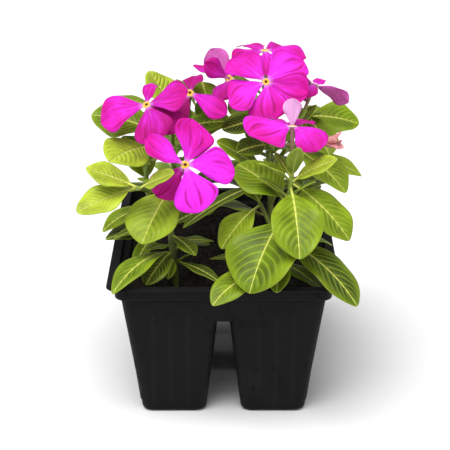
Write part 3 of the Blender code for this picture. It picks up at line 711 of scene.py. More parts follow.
class Quilt:
    """The arched side veins of a leaf, in shares of its length, and the swelling between them."""

    VEINS = 9.0
    LEAN = 0.24
    BEND = 0.16
    LEAST_WIDTH = 11.0
    SWELL = 0.018

    @classmethod
    def lift(cls, leaf: Leaf, u: float, t: float) -> float:
        """How far the leaf's face stands proud at a place.

        Args:
            leaf: the leaf.
            u: the place along the blade, from 0 to 1.
            t: the place across it, from -1 to 1.

        Returns:
            The height in millimetres.
        """
        if u <= 0 or u >= 1:
            return 0.0
        side = abs(t)
        groove = -0.22 * math.exp(-((side * leaf.width / 1.6) ** 2))
        if leaf.width < cls.LEAST_WIDTH:
            return groove
        phase = cls.VEINS * (u - cls.LEAN * side - cls.BEND * side * side)
        swell = 0.5 - 0.5 * math.cos(2 * math.pi * phase)
        fade = (1 - side ** 4) * math.sin(math.pi * u) ** 0.5 * min(1.0, 5 * side)
        return groove + cls.SWELL * leaf.width * (swell - 0.4) * fade


def petal_relief(leaf: Leaf, u: float, t: float) -> float:
    """The soft pleats and the waved edge of a petal.

    Args:
        leaf: the petal.
        u: the place along it, from 0 to 1.
        t: the place across it, from -1 to 1.

    Returns:
        The height in millimetres.
    """
    pleats = 0.52 * math.sin(6.5 * t + 0.7 * leaf.heading) * u * (1 - t * t)
    edge = 0.6 * abs(t) ** 3 * math.sin(11 * u + 2.2 * t + leaf.heading) * min(1.0, 2 * u)
    return pleats + edge - 0.25 * math.exp(-((t / 0.16) ** 2)) * u * (1 - u)


def rolled_relief(leaf: Leaf, u: float, t: float) -> float:
    """The curled-up sides of a spent petal."""
    half = leaf.width / 2 * petal_outline(u)
    return 1.3 * half * (1 - math.sqrt(max(0.0, 1 - 0.9 * t * t)))


def flat_relief(leaf: Leaf, u: float, t: float) -> float:
    """No relief."""
    return 0.0


def leaf_outline(u: float) -> float:
    """Half width of a leaf over its length: oblong, widest past its middle, with a short point."""
    return math.sin(math.pi * u ** 1.1) ** 0.7 if 0 < u < 1 else 0.0


def petal_outline(u: float) -> float:
    """Half width of a petal over its length: a narrow claw that opens into a broad, blunt end."""
    return math.sin(math.pi * u ** 1.9) ** 0.75 if 0 < u < 1 else 0.0


def pointing(heading: float, rise: float) -> Vector:
    """The unit vector of a heading round Z and a rise above the horizontal."""
    h, a = math.radians(heading), math.radians(rise)
    return Vector((math.cos(a) * math.cos(h), math.cos(a) * math.sin(h), math.sin(a)))


class Blade:
    """How a blade's points lie: its middle line bends down, its sides fold up and its edges wave."""

    STALK_HALF = 0.8
    FOLD = 13.0
    FRAY = 0.035

    @classmethod
    def half_width(cls, leaf: Leaf, outline: Outline, u: float) -> float:
        """Half the blade's width at a share of its length."""
        return leaf.width / 2 * outline(u) + cls.STALK_HALF * (1 - u) + 0.35 * u

    @classmethod
    def point(cls, leaf: Leaf, outline: Outline, stalk: float, s: float, t: float, lift: float,
              fray: float = 0.0) -> Vector:
        """One point of a blade.

        Args:
            leaf: the leaf.
            outline: half its width over its length.
            stalk: the share of its length that is stalk.
            s: from 0 at its foot to 1 at its tip.
            t: from -1 to 1 across it.
            lift: how far the point stands off the blade's middle.
            fray: the share of its width by which its edges run unevenly.

        Returns:
            The point.
        """
        droop = math.radians(leaf.droop) or 1e-4
        start = math.radians(leaf.rise) + droop / 2
        angle = start - droop * s
        run = leaf.length * (math.sin(start) - math.sin(angle)) / droop
        climb = leaf.length * (math.cos(angle) - math.cos(start)) / droop
        h, roll = math.radians(leaf.heading), math.radians(leaf.roll)
        side = Vector((-math.sin(h), math.cos(h), 0))
        up = Vector((-math.sin(angle) * math.cos(h), -math.sin(angle) * math.sin(h), math.cos(angle)))
        u = max(0.0, (s - stalk) / (1 - stalk))
        half = cls.half_width(leaf, outline, u) * (1 + fray * math.sin(12 * u + 5 * t + leaf.heading))
        lift += half * abs(t) * (math.tan(math.radians(cls.FOLD)) - 0.14 * abs(t))
        lift += leaf.wave * outline(u) * t * t * math.sin(9.5 * u + 1.5 * t + leaf.heading)
        middle = Vector(leaf.foot) + Vector((run * math.cos(h), run * math.sin(h), climb))
        across = side * math.cos(roll) + up * math.sin(roll)
        off = up * math.cos(roll) - side * math.sin(roll)
        return middle + across * (t * half + leaf.lean * leaf.width / 2 * u ** 3) + off * lift


def rim_ring(rows: int, wide: int) -> list[int]:
    """The outermost points of a grid, in a ring.

    Args:
        rows: how many rows of points it has.
        wide: how many points a row has.

    Returns:
        The points' numbers.
    """
    ring = [row * wide for row in range(rows)]
    ring += [(rows - 1) * wide + col for col in range(1, wide)]
    ring += [row * wide + wide - 1 for row in range(rows - 2, -1, -1)]
    return ring + list(range(wide - 2, 0, -1))


def grid_quads(rows: int, wide: int) -> list[tuple[int, int, int, int]]:
    """The faces of a closed blade: its upper side, its under side and its rim.

    Args:
        rows: how many rows of points each side has.
        wide: how many points a row has.

    Returns:
        The faces, all turned the same way.
    """
    under = rows * wide
    faces = []
    for row in range(rows - 1):
        for col in range(wide - 1):
            a = row * wide + col
            b, c, d = a + 1, a + wide + 1, a + wide
            faces += [(a, d, c, b), (under + a, under + b, under + c, under + d)]
    rim = rim_ring(rows, wide)
    faces += [(a, under + a, under + b, b) for a, b in zip(rim, rim[1:] + rim[:1])]
    return faces


@dataclass(frozen=True)
class BladeStyle:
    """How finely a kind of blade is made, and its thickness and relief."""

    outline: Outline
    relief: Relief
    stalk: float
    thick: float
    row_pitch: float = 1.1
    strip: float = 1.5
    most_strips: int = 22

    def shape(self, leaf: Leaf, place: Matrix | None = None) -> Shape:
        """The fine blade.

        Args:
            leaf: the leaf or petal.
            place: the frame that it is made in, if not the world's.

        Returns:
            Its closed shape.
        """
        rows = max(8, round(leaf.length / self.row_pitch))
        strips = 2 * max(2, min(self.most_strips // 2, round(leaf.width / self.strip / 2)))
        shares = [0.5 * i / rows + 0.25 * (1 - math.cos(math.pi * i / rows)) for i in range(rows + 1)]
        stations = [0.0, self.stalk / 2] if self.stalk else []
        stations += [self.stalk + (1 - self.stalk) * share for share in shares]
        points, values = [], {"along": [], "across": [], "wide": [], "under": [], "age": [], "shade": []}
        for side in (1, -1):
            for s in stations:
                u = max(0.0, (s - self.stalk) / (1 - self.stalk))
                half = Blade.half_width(leaf, self.outline, u)
                for i in range(strips + 1):
                    t = 2 * i / strips - 1
                    lift = self.relief(leaf, u, t) + side * self.half_thick(s, t, half, side)
                    point = Blade.point(leaf, self.outline, self.stalk, s, t, lift, Blade.FRAY)
                    points.append(place @ point if place else point)
                    for key, value in zip(values, (u, t, half, 0.5 - side / 2, leaf.age, leaf.shade)):
                        values[key].append(value)
        return Shape(points, grid_quads(len(stations), strips + 1), values)

    def half_thick(self, s: float, t: float, half: float, side: int) -> float:
        """Half the blade's thickness: more in a stalk and under the midrib, less at the edge.

        Args:
            s: the place along it.
            t: the place across it.
            half: half its width there.
            side: 1 on its upper face, -1 on its under face.

        Returns:
            The half thickness.
        """
        body = self.thick / 2 * (1 - 0.45 * t ** 4)
        if self.stalk and s <= self.stalk:
            return body + 0.35 * (1 - t * t)
        if self.stalk and side < 0:
            return body + 0.45 * (1 - s) * math.exp(-((t * half / 0.8) ** 2))
        return body


class Styles:
    """The kinds of blade."""

    STALK = 0.16
    LEAF = BladeStyle(leaf_outline, Quilt.lift, STALK,
                      thick=0.55, row_pitch=1.0, strip=1.5, most_strips=24)
    PETAL = BladeStyle(petal_outline, petal_relief, 0.0,
                       thick=0.42, row_pitch=0.9, strip=1.1, most_strips=20)
    ROLLED = BladeStyle(petal_outline, rolled_relief, 0.0,
                        thick=0.45, row_pitch=1.0, strip=0.6, most_strips=10)
    SEPAL = BladeStyle(leaf_outline, flat_relief, 0.0,
                       thick=0.4, row_pitch=0.6, strip=0.6, most_strips=4)


def tube_faces(rows: int, sides: int) -> list[tuple[int, ...]]:
    """The faces of a stack of rings of points, closed at both ends.

    Args:
        rows: how many rings it has.
        sides: how many points each ring has.

    Returns:
        The faces.
    """
    faces: list[tuple[int, ...]] = []
    for row in range(rows - 1):
        for i in range(sides):
            a, b = row * sides + i, row * sides + (i + 1) % sides
            faces.append((a, b, b + sides, a + sides))
    faces.append(tuple(range(sides - 1, -1, -1)))
    last = (rows - 1) * sides
    faces.append(tuple(range(last, last + sides)))
    return faces


def tube_shape(path: Sequence[Vector], radii: Sequence[float], sides: int) -> Shape:
    """A round stem along a line, closed at both ends.

    Args:
        path: the line.
        radii: the stem's radius at each of its points.
        sides: how many sides it has.

    Returns:
        The closed shape.
    """
    points: list[Vector] = []
    side = (path[1] - path[0]).normalized().orthogonal().normalized()
    for i, (point, radius) in enumerate(zip(path, radii)):
        way = (path[min(i + 1, len(path) - 1)] - path[max(i - 1, 0)]).normalized()
        side = (side - side.dot(way) * way).normalized()
        other = way.cross(side)
        for step in range(sides):
            angle = 2 * math.pi * step / sides
            points.append(point + (side * math.cos(angle) + other * math.sin(angle)) * radius)
    return Shape(points, tube_faces(len(path), sides))


# Blooms


@dataclass(frozen=True)
class Bloom:
    """A bloom: its eye, where its face points and its petals, each (angle, length, width, pitch, curl, roll).

    Leans says how far each petal's tip lies anticlockwise, in half widths. A petal's shade runs from -1, deep
    crimson painted shade for a petal that lies in shadow, over 0 to 1, pale lilac.
    """

    eye: Point
    heading: float
    rise: float
    petals: tuple[Point, ...]
    leans: tuple[float, ...]
    shades: tuple[float, ...]

    TUBE_LENGTH = 23.0
    TUBE_RADII = (0.75, 1.05, 1.5)
    SEAT_GAP = 0.3
    ROLLED_WIDTH = 6.0
    PETAL_THICK = 0.65
    STATIONS = (0.0, 0.28, 0.58, 0.86, 1.0)
    CLAW_START = 0.8
    CLAW_HIDDEN = 1.0

    def frame(self) -> Matrix:
        """The bloom's own frame.

        Returns:
            The frame: X to the right of its face, Y up its face, Z out of it.
        """
        out = pointing(self.heading, self.rise)
        up = Vector((0, 0, 1))
        up = (up - up.dot(out) * out).normalized()
        frame = Matrix((up.cross(out), up, out)).transposed().to_4x4()
        frame.translation = Vector(self.eye)
        return frame

    def calyx_place(self) -> Vector:
        """The foot of the bloom's tube."""
        return Vector(self.eye) - pointing(self.heading, self.rise) * self.TUBE_LENGTH

    def petal_leaves(self) -> list[Leaf]:
        """Its petals as blades.

        Returns:
            The petals, in the bloom's own frame.
        """
        leaves = []
        for index, (angle, length, width, pitch, curl, roll) in enumerate(self.petals):
            foot = self.CLAW_START * pointing(angle, 0)
            length -= self.CLAW_HIDDEN
            leaves.append(Leaf(foot, angle, pitch, length, width, curl, roll, 0.5, 0.2 * index,
                               self.shades[index], self.leans[index]))
        return leaves

    def coarse_petals(self) -> list[BVHTree]:
        """Its petals' plain solids.

        Returns:
            A search tree for each, in the world.
        """
        frame = self.frame()
        trees = []
        for petal in self.petal_leaves():
            stations = self.STATIONS if petal.width > self.ROLLED_WIDTH else self.STATIONS[::2]
            points, faces = solid_blade(petal, petal_outline, 0.0, stations, 2, self.PETAL_THICK)
            trees.append(BVHTree.FromPolygons([frame @ point for point in points], faces))
        return trees

    def tube_points(self) -> list[Vector]:
        """The tube's middle line.

        Returns:
            Its points, from just above the calyx to the eye.
        """
        foot, eye = self.calyx_place(), Vector(self.eye)
        out = pointing(self.heading, self.rise)
        return [foot + out * self.SEAT_GAP, foot.lerp(eye, 0.5), eye - out * 0.3]


def solid_blade(leaf: Leaf, outline: Outline, stalk: float, stations: Sequence[float], across: int,
                thick: float) -> tuple[list[Vector], list[tuple[int, ...]]]:
    """A blade's plain solid in triangles, for tests of what meets what.

    Args:
        leaf: the leaf or petal.
        outline: half its width over its length.
        stalk: the share of its length that is stalk.
        stations: where its cross rows lie.
        across: how many strips each row has.
        thick: its thickness.

    Returns:
        Its points and triangles.
    """
    ts = [2 * i / across - 1 for i in range(across + 1)]
    wide = across + 1
    points = [Blade.point(leaf, outline, stalk, s, t, side * thick / 2)
              for side in (1, -1) for s in stations for t in ts]
    under = len(stations) * wide
    faces: list[tuple[int, ...]] = []
    for row in range(len(stations) - 1):
        for col in range(across):
            a = row * wide + col
            b, c, d = a + 1, a + wide + 1, a + wide
            faces += [(a, c, b), (a, d, c)]
            faces += [(under + a, under + b, under + c), (under + a, under + c, under + d)]
    rim = rim_ring(len(stations), wide)
    for a, b in zip(rim, rim[1:] + rim[:1]):
        faces += [(a, under + a, b), (b, under + a, under + b)]
    return points, faces


# How the plants grow


@dataclass(frozen=True)
class Shoot:
    """A shoot: its points, its bloom, its listed leaves and the pairs that fill it.

    A listed leaf is (height, tip, width, droop, roll, tone), the tone darker for aged leaves and as painted
    shade for leaves in shadow, and fill is (low, high, pairs, length, heading).
    """

    points: tuple[Point, ...]
    bloom: str | None
    leaves: tuple[tuple, ...]
    fill: tuple[float, ...] | None = None


ROOT_FOOT = 54.0
ROOT_COLLAR = 76.0


def rooted(x: float, y: float, *rest: Point) -> tuple[Point, ...]:
    """A main stem's points: straight up through its hole in the medium, then on through the rest."""
    return ((x, y, ROOT_FOOT), (x, y, ROOT_COLLAR), (x, y, ROOT_COLLAR + 5), *rest)


# Each bloom's last row holds its petals' shade values: below 0 they paint deep crimson shade on petals that
# lie in shadow.
BLOOMS = {
    "bloom_front_left": Bloom((-21.5, -64, 151), -85, 28, (
        (66, 26, 23, 0, 10, 6), (150, 27, 19, 8, 15, 35), (2, 28, 20, 2, 10, 6),
        (-74, 29, 25, 6, 15, 4), (-137, 25, 19, -22, 10, -10)), (0.5, -0.3, -0.6, -0.1, 0.0),
        (-0.2, 0.05, 0.25, 0.35, -0.9)),
    "bloom_left": Bloom((-45, -17, 172.5), -110, 55, (
        (202, 29, 23, -4, 15, -12), (-56, 27, 23, -12, 35, 4), (18, 26, 19, 6, 12, 10),
        (-20, 26, 16, -26, 20, 8), (104, 24, 8.5, -18, 20, 0)), (0.3, -0.4, 0.3, 0.0, 0.0),
        (-0.1, -0.7, -0.45, -1.0, -0.2)),
    "bloom_middle": Bloom((-20, 0, 175), -85, 50, (
        (-40, 27, 13, 2, 12, 12), (-25, 25, 13, -20, 20, 14), (76, 17, 12, -18, 40, -20),
        (186, 20, 15, -30, 15, 8), (238, 24, 16, -16, 20, 8)), (0.0, -0.3, 0.0, 0.0, 0.0),
        (-0.1, -0.6, -0.9, -0.8, -0.9)),
    "bloom_top_left": Bloom((3.3, 18, 179), -100, 35, (
        (-53, 23.5, 15, 170, 10, 0), (160, 19.5, 12, 40, 20, 0), (160, 25, 13, -6, 15, 55),
        (257, 17, 12, 16, 15, 8), (50, 16, 8, 8, 12, 8)), (0.0, 0.0, 0.0, 0.0, 0.0),
        (0.45, -0.5, -0.6, -0.8, -0.5)),
    "bloom_crown": Bloom((24.9, -13, 185.3), -95, 46, (
        (138, 25.5, 23, 3, 14, 8), (46, 26, 24, 3, 14, 8), (-14, 26, 21, -4, 18, 16),
        (-77, 25.5, 24, -6, 24, 6), (210, 26, 23, -2, 18, 8)), (0.45, -0.4, 0.0, -0.2, 0.4),
        (-0.12, 0.22, -0.25, -0.1, 0.12)),
    "bloom_back": Bloom((25.4, 36, 192), 90, 86, (
        (15, 22, 17, -20, 20, -25), (100, 23, 18, -36, 30, 4), (180, 26, 14, -6, 20, 25),
        (238, 23, 12, -3, 14, 20), (302, 24, 18, -2, 12, 0)), (0.0, 0.0, -0.5, -0.5, 0.0),
        (-0.35, -0.3, -0.3, -0.5, -0.4)),
    "bloom_right": Bloom((54.5, 6, 178), 65, 35, (
        (208, 23, 12, -4, 20, -12), (266, 11, 8, 66, 15, 4), (326, 22, 16, 2, 12, 8),
        (24, 21, 14, 2, 12, 8), (88, 18, 14, -70, 25, 4)), (0.0, 0.0, 0.0, 0.0, 0.0),
        (0.3, -0.3, -0.6, -0.3, -0.4)),
    "bloom_front_right": Bloom((39, -50, 169.3), 90, 76, (
        (88, 17, 10, 88, 14, 4), (27, 24, 28, -22, 34, -40), (141, 23, 21, -38, 34, 30),
        (-50, 19, 15, 10, 16, 8), (232, 17, 14, 8, 16, 8)), (0.0, -0.5, 0.0, 0.0, 0.0),
        (1.0, 0.1, -0.15, -0.5, -0.7)),
    "bloom_spent": Bloom((54.5, -24, 151.5), -15, 8, (
        (70, 17, 3.6, 72, 16, 30), (0, 16, 3.6, 84, 16, 40), (-60, 17, 3.6, 74, 18, 30),
        (150, 14, 3.6, 80, 12, 30), (225, 15, 3.6, 72, 14, 40)), (0.0, 0.0, 0.0, 0.0, 0.0),
        (0.5, 0.45, 0.62, 0.55, 0.5)),
}

# A listed leaf's last value darkens its green: for aged leaves, and as painted shade for leaves that lie in
# shadow.
PLANTS = {
    "plant_front_left": (
        Shoot(rooted(-28, -53, (-30, -50, 97), (-31, -44, 122), (-28, -41, 134)),
              "bloom_front_left",
              ((131, (-46, -74, 107), 33, 30, 0, 0.3), (93, (-62, -92, 84), 16, 60, 0, 0.6),
               (88, (-1, -72, 82), 9, 30, 0, 0.9), (97, (-44, -62, 95), 8, 25, 0, 0.5),
               (103, (-16, -66, 97), 10, 30, 0, 0.6), (99, (-6, -38, 95), 9, 20, 0, 0.7),
               (90, (-32, -65, 82), 6, 20, 0, 0.6), (86, (-20, -62, 94), 6, 20, 0, 0.6)),
              (94, 124, 2, 32, 60)),
    ),
    "plant_left": (
        Shoot(rooted(-30, 0, (-37, -4, 96), (-46, -9, 117), (-45, -7, 136), (-42, -4, 149)),
              "bloom_left",
              ((120, (-28, -28, 132), 16, 25, 20, 0.6), (121, (-53, 14, 137), 17, 20, 0, 0.5),
               (143, (-66, -40, 145), 27, 25, -25, 0.12), (151, (-80, -4, 160), 30, 30, -30, 0.45),
               (104, (-73, -14, 92), 12, 60, -20, 0.4), (94, (-53, -50, 82), 9, 30, 0, 0.5),
               (93, (-62, -30, 97), 9, 20, 0, 0.7)),
              (90, 132, 2, 36, 40)),
        Shoot(((-46, -9, 117), (-50, -28, 125), (-50, -48, 132), (-47, -67, 138)),
              None,
              ((137.5, (-26, -77, 151), 13, 10, 32, 0.12), (134, (-83, -68, 124), 20, 15, -25, 0.04),
               (135, (-78, -58, 147), 16, 10, -30, 0.05))),
    ),
    "plant_back_left": (
        Shoot(rooted(-29, 53, (-31, 46, 104), (-32, 32, 136), (-30, 20, 156)),
              "bloom_middle",
              ((154, (-65, 22, 167), 13, 15, 0, 0.4), (156, (-46, 32, 180), 24, 15, 0, 0.0),
               (142, (4, 5, 156), 17, 20, 35, 0.7), (130, (7, 12, 154), 14, 20, 30, 0.6),
               (97, (-38, 104.28, 97), 22, 45, 0, 0.5)),
              (92, 140, 3, 44, 10)),
        Shoot(((-31, 46, 104), (-24, 42, 122), (-17, 33, 150), (-14, 26, 177)),
              None,
              ((176, (-9.5, 8, 169), 17, 30, 0, 0.36), (150, (-2, 14, 164), 15, 20, 0, 0.6)),
              (124, 156, 2, 32, 80)),
    ),
    "plant_right": (
        Shoot(rooted(29, 0, (29, 3, 104), (27, 5, 138), (26, 4, 158)),
              "bloom_crown",
              ((118, (-24, -26, 99), 12, 30, 0, 0.9), (119, (-4, -14, 149), 17, 20, -40, 0.45),
               (158, (3, -6, 143), 15, 15, -35, 0.9), (141, (8, -16, 140), 13, 20, -35, 0.9),
               (156, (0, 16, 162), 20, 20, -35, 0.7)),
              (94, 136, 2, 38, 30)),
        Shoot(((29, 3, 104), (34, 0, 120), (42, -6, 142), (46, -11, 156)),
              "bloom_right",
              ((142, (71, -40, 126), 23, 35, 0, 0.4), (140, (83, -6, 125), 18, 30, 10, 0.35)),
              (118, 150, 2, 28, 120)),
        Shoot(((27, 5, 138), (29, -10, 143)), "bloom_spent", ()),
        Shoot(((27, 5, 138), (24, 7, 152)), "bloom_top_left", ()),
    ),
    "plant_back_right": (
        Shoot(rooted(29, 53, (31, 50, 108), (28, 45, 146), (26, 42, 164)),
              "bloom_back",
              ((158, (38, 66, 176), 15, 20, 0, 0.4), (160, (2, 44, 176), 15, 20, 0, 0.4),
               (103, (41, 102, 101), 20, 40, 0, 0.45)),
              (92, 140, 3, 44, 0)),
        Shoot(((31, 50, 108), (38, 40, 126), (48, 22, 150), (50, 16, 160)),
              None,
              ((155, (83, 20, 150), 24, 25, 30, 0.5), (158, (59, -22, 146), 20, 30, 0, 0.6),
               (156, (63, 38, 155), 9, 20, 0, 0.5)),
              (122, 150, 2, 32, 20)),
    ),
    "plant_front_right": (
        Shoot(rooted(29, -53, (32, -57, 98), (36, -62, 122), (38, -61, 137)),
              "bloom_front_right",
              ((137, (42, -101, 108.5), 29, 48, 0, 0.4), (139, (71, -76, 110), 25, 30, 15, 0.4),
               (121, (13, -102, 92), 42, 45, 0, 0.62), (127, (8, -36, 142), 29, 25, -15, 0.5),
               (104, (75, -93, 77), 22, 45, 12, 0.8), (109, (63, -52, 98), 14, 25, 0, 0.5),
               (96, (30, -92, 85), 14, 25, 0, 0.7), (90, (56, -78, 81), 12, 25, 0, 0.8),
               (92, (-8, -46, 87), 9, 15, 0, 0.7), (140, (20, -74, 155), 10, 10, 0, 0.05),
               (141, (41, -70, 165), 9, 10, 0, 0.25), (139, (64, -66, 155), 12, 20, 30, 0.1),
               (141, (35, -56, 158), 7, 10, 0, 0.3)),
              (96, 130, 2, 26, 70)),
        Shoot(((32, -57, 98), (28, -52, 108), (21, -46, 122)),
              None,
              ((121, (-1, -66, 101), 21, 35, 0, 0.35), (120, (10, -26, 132), 13, 25, 0, 0.6))),
        Shoot(((29, -53, 81), (27, -62, 85), (24, -71, 87)),
              None,
              ((86.8, (-6, -99, 80), 17, 60, -20, 0.4),)),
    ),
}


def smooth_path(points: Sequence[Point], steps: int = 2) -> list[Vector]:
    """A smooth line through some points.

    Args:
        points: the points.
        steps: into how many parts each stretch is split.

    Returns:
        The line's points.
    """
    points = [Vector(point) for point in points]
    ends = [2 * points[0] - points[1]] + points + [2 * points[-1] - points[-2]]
    line = []
    for a, b, c, d in zip(ends, ends[1:], ends[2:], ends[3:]):
        for step in range(steps):
            f = step / steps
            line.append(0.5 * (2 * b + (c - a) * f + (2 * a - 5 * b + 4 * c - d) * f * f
                               + (3 * b - a - 3 * c + d) * f ** 3))
    return line + [points[-1]]


@dataclass
class Growth:
    """Places every leaf: listed ones first, then fillers, all bent clear of what is there."""

    stem_radius: float = 2.0
    clearance: float = 0.7
    leaf_thick: float = 0.75
    soil_top: float = 74.3
    soil_half: tuple[float, float] = (60, 82)
    sizes: tuple[float, ...] = (1.0, 0.85, 0.7, 0.55)
    guard_stations: tuple[float, ...] = (0.16, 0.28, 0.42, 0.56, 0.7, 0.84, 0.95, 1.0)
    taken: list[BVHTree] = field(default_factory=list)

    CALYX_RUN = 4
    CALYX_REACH = 1.2
    SWING = 6
    SWINGS_BY_HAND = (2, 4)
    SWINGS_OF_FILLERS = (5, 7)

    def shoot_path(self, shoot: Shoot) -> list[Vector]:
        """The line that a shoot grows along.

        Args:
            shoot: the shoot.

        Returns:
            Its points, up to its bloom's calyx.
        """
        path = smooth_path(shoot.points)
        if shoot.bloom:
            bloom = BLOOMS[shoot.bloom]
            out = pointing(bloom.heading, bloom.rise)
            path = smooth_path([*shoot.points, bloom.calyx_place() - out * self.CALYX_RUN])
            path.append(bloom.calyx_place() - out * self.CALYX_REACH)
        return path

    @staticmethod
    def at_height(path: Sequence[Vector], z: float) -> Vector:
        """The point of a shoot's path at a height.

        Args:
            path: the path.
            z: the height.

        Returns:
            The point, or the path's end if it is lower.
        """
        for low, high in zip(path, path[1:]):
            if low.z <= z <= high.z:
                return low.lerp(high, (z - low.z) / (high.z - low.z))
        return path[-1].copy()

    def placed_leaf(self, path: Sequence[Vector], spec: tuple) -> Leaf:
        """A leaf from its height on the shoot, its tip, width, droop, roll and tone, which is darker for aged
        leaves and as painted shade.

        Args:
            path: the shoot's line.
            spec: those six values.

        Returns:
            The leaf.
        """
        height, tip, width, droop, roll, age = spec
        foot = self.at_height(path, height)
        chord = Vector(tip) - foot
        flat = math.hypot(chord.x, chord.y)
        half_turn = math.radians(droop) / 2 or 1e-4
        length = chord.length * half_turn / math.sin(half_turn)
        wave = 0.05 * width
        return Leaf(foot, math.degrees(math.atan2(chord.y, chord.x)), math.degrees(math.atan2(chord.z, flat)),
                    length, width, droop, roll, wave, age)

    def filling_leaves(self, path: Sequence[Vector], fill: Sequence[float],
                       draw: random.Random) -> list[Leaf]:
        """Opposite pairs up a shoot, each pair a quarter turn on from the one below.

        Args:
            path: the shoot's line.
            fill: the lowest and highest pair, how many pairs, a leaf's length and the first heading.
            draw: the source of chance.

        Returns:
            The leaves.
        """
        low, high, pairs, length, heading = fill
        leaves = []
        for pair in range(pairs):
            share = pair / max(1, pairs - 1)
            foot = self.at_height(path, low + (high - low) * share)
            for side in (0, 180):
                size = length * (1.1 - 0.35 * share) * draw.uniform(0.88, 1.12)
                # The last value makes lower pairs darker: they are older, and it paints the shade falling on
                # them from above.
                leaves.append(Leaf(foot, heading + 90 * pair + side + draw.uniform(-12, 12),
                                   draw.uniform(8, 24) + 14 * share, size, size * draw.uniform(0.44, 0.52),
                                   draw.uniform(25, 45), draw.uniform(-10, 10), 0.02 * size,
                                   0.85 - 0.3 * share))
        return leaves

    @staticmethod
    def swings(most_turn: int, most_lift: int) -> list[tuple[int, int]]:
        """Turns and lifts to try.

        Args:
            most_turn: how many steps it may turn to each side.
            most_lift: how many steps it may lift or drop.

        Returns:
            The turns and lifts in degrees, the smallest first.
        """
        turns, lifts = range(-most_turn, most_turn + 1), range(-most_lift, most_lift + 1)
        tries = [(Growth.SWING * i, Growth.SWING * j) for i in turns for j in lifts]
        return sorted(tries, key=lambda swing: (abs(swing[0]) + abs(swing[1]), swing))

    def guard_tree(self, leaf: Leaf) -> BVHTree:
        """The space that a leaf needs.

        Args:
            leaf: the leaf.

        Returns:
            A search tree of its blade, made thicker and wider by the clearance.
        """
        wide = replace(leaf, width=leaf.width + 2 * self.clearance, length=leaf.length + self.clearance)
        points, faces = solid_blade(wide, leaf_outline, Styles.STALK, self.guard_stations, 4,
                                    self.leaf_thick + 2 * self.clearance)
        return BVHTree.FromPolygons(points, faces)

    def bent_clear(self, leaf: Leaf, others: Sequence[BVHTree],
                   tries: Sequence[tuple[int, int]]) -> tuple[Leaf, BVHTree] | None:
        """The leaf swung by as little as keeps it clear of all that is in place.

        Args:
            leaf: the leaf.
            others: what it must not meet.
            tries: the turns and lifts to try.

        Returns:
            The leaf and its search tree, or None.
        """
        for turn, lift in tries:
            swung = replace(leaf, heading=leaf.heading + turn, rise=leaf.rise + lift)
            tree = self.guard_tree(swung)
            if not any(tree.overlap(other) for other in others):
                return swung, tree
        return None

    @staticmethod
    def prism_tree(path: Sequence[Vector], radius: float) -> BVHTree:
        """A six-sided prism around a line.

        Args:
            path: the line.
            radius: the prism's radius.

        Returns:
            Its search tree.
        """
        verts, faces = [], []
        for point, ahead in zip(path, path[1:] + [2 * path[-1] - path[-2]]):
            way = (ahead - point).normalized()
            side = way.orthogonal().normalized()
            turn = Matrix.Rotation(math.radians(60), 3, way)
            for _ in range(6):
                verts.append(point + side * radius)
                side = turn @ side
        for row in range(len(path) - 1):
            for i in range(6):
                a, b = row * 6 + i, row * 6 + (i + 1) % 6
                faces += [(a, b, b + 6), (a, b + 6, a + 6)]
        return BVHTree.FromPolygons(verts, faces)

    def rim_tree(self) -> BVHTree:
        """The pack's lip and the medium's top.

        Returns:
            Their search tree.
        """
        pack = NurseryPack()
        verts, faces = [], []
        # How far in from the lip's edge, and how high
        profile = ((7.5, 70), (6.5, pack.height), (0, pack.height), (0, pack.height - 1.5),
                   (6.5, pack.height - 9), (16, 20))
        rows = [pack.ring((0, 0), (pack.lip_half[0] - inset, pack.lip_half[1] - inset), pack.corner, z, 2)
                for inset, z in profile]
        for row in rows:
            verts += [Vector(point) for point in row]
        wide = len(rows[0])
        for row in range(len(rows) - 1):
            for i in range(wide):
                a, b = row * wide + i, row * wide + (i + 1) % wide
                faces += [(a, b, b + wide), (a, b + wide, a + wide)]
        first = len(verts)
        half_x, half_y = self.soil_half
        verts += [Vector((x * half_x, y * half_y, self.soil_top))
                  for x, y in ((-1, -1), (1, -1), (1, 1), (-1, 1))]
        faces += [(first, first + 1, first + 2), (first, first + 2, first + 3)]
        return BVHTree.FromPolygons(verts, faces)

    def grow(self) -> tuple[dict[str, list[list[Vector]]], dict[str, list[Leaf]]]:
        """Place every leaf.

        Returns:
            Each plant's shoot lines and its leaves.
        """
        draw = random.Random(SEED)
        self.taken = [self.rim_tree()]
        for bloom in BLOOMS.values():
            self.taken += bloom.coarse_petals()
            self.taken.append(self.prism_tree(bloom.tube_points(), Bloom.TUBE_RADII[-1]))
        paths = {name: [self.shoot_path(shoot) for shoot in shoots] for name, shoots in PLANTS.items()}
        stems = {name: [self.prism_tree(path, self.stem_radius) for path in rows]
                 for name, rows in paths.items()}
        leaves: dict[str, list[Leaf]] = {name: [] for name in PLANTS}
        for by_hand in (True, False):
            tries = self.swings(*(self.SWINGS_BY_HAND if by_hand else self.SWINGS_OF_FILLERS))
            for name, shoots in PLANTS.items():
                others = [tree for other, trees in stems.items() if other != name for tree in trees]
                for shoot, path in zip(shoots, paths[name]):
                    if by_hand:
                        wanted = [self.placed_leaf(path, spec) for spec in shoot.leaves]
                    else:
                        wanted = self.filling_leaves(path, shoot.fill, draw) if shoot.fill else []
                    for leaf in wanted:
                        self.settle(leaf, others, tries, leaves[name])
        return paths, leaves

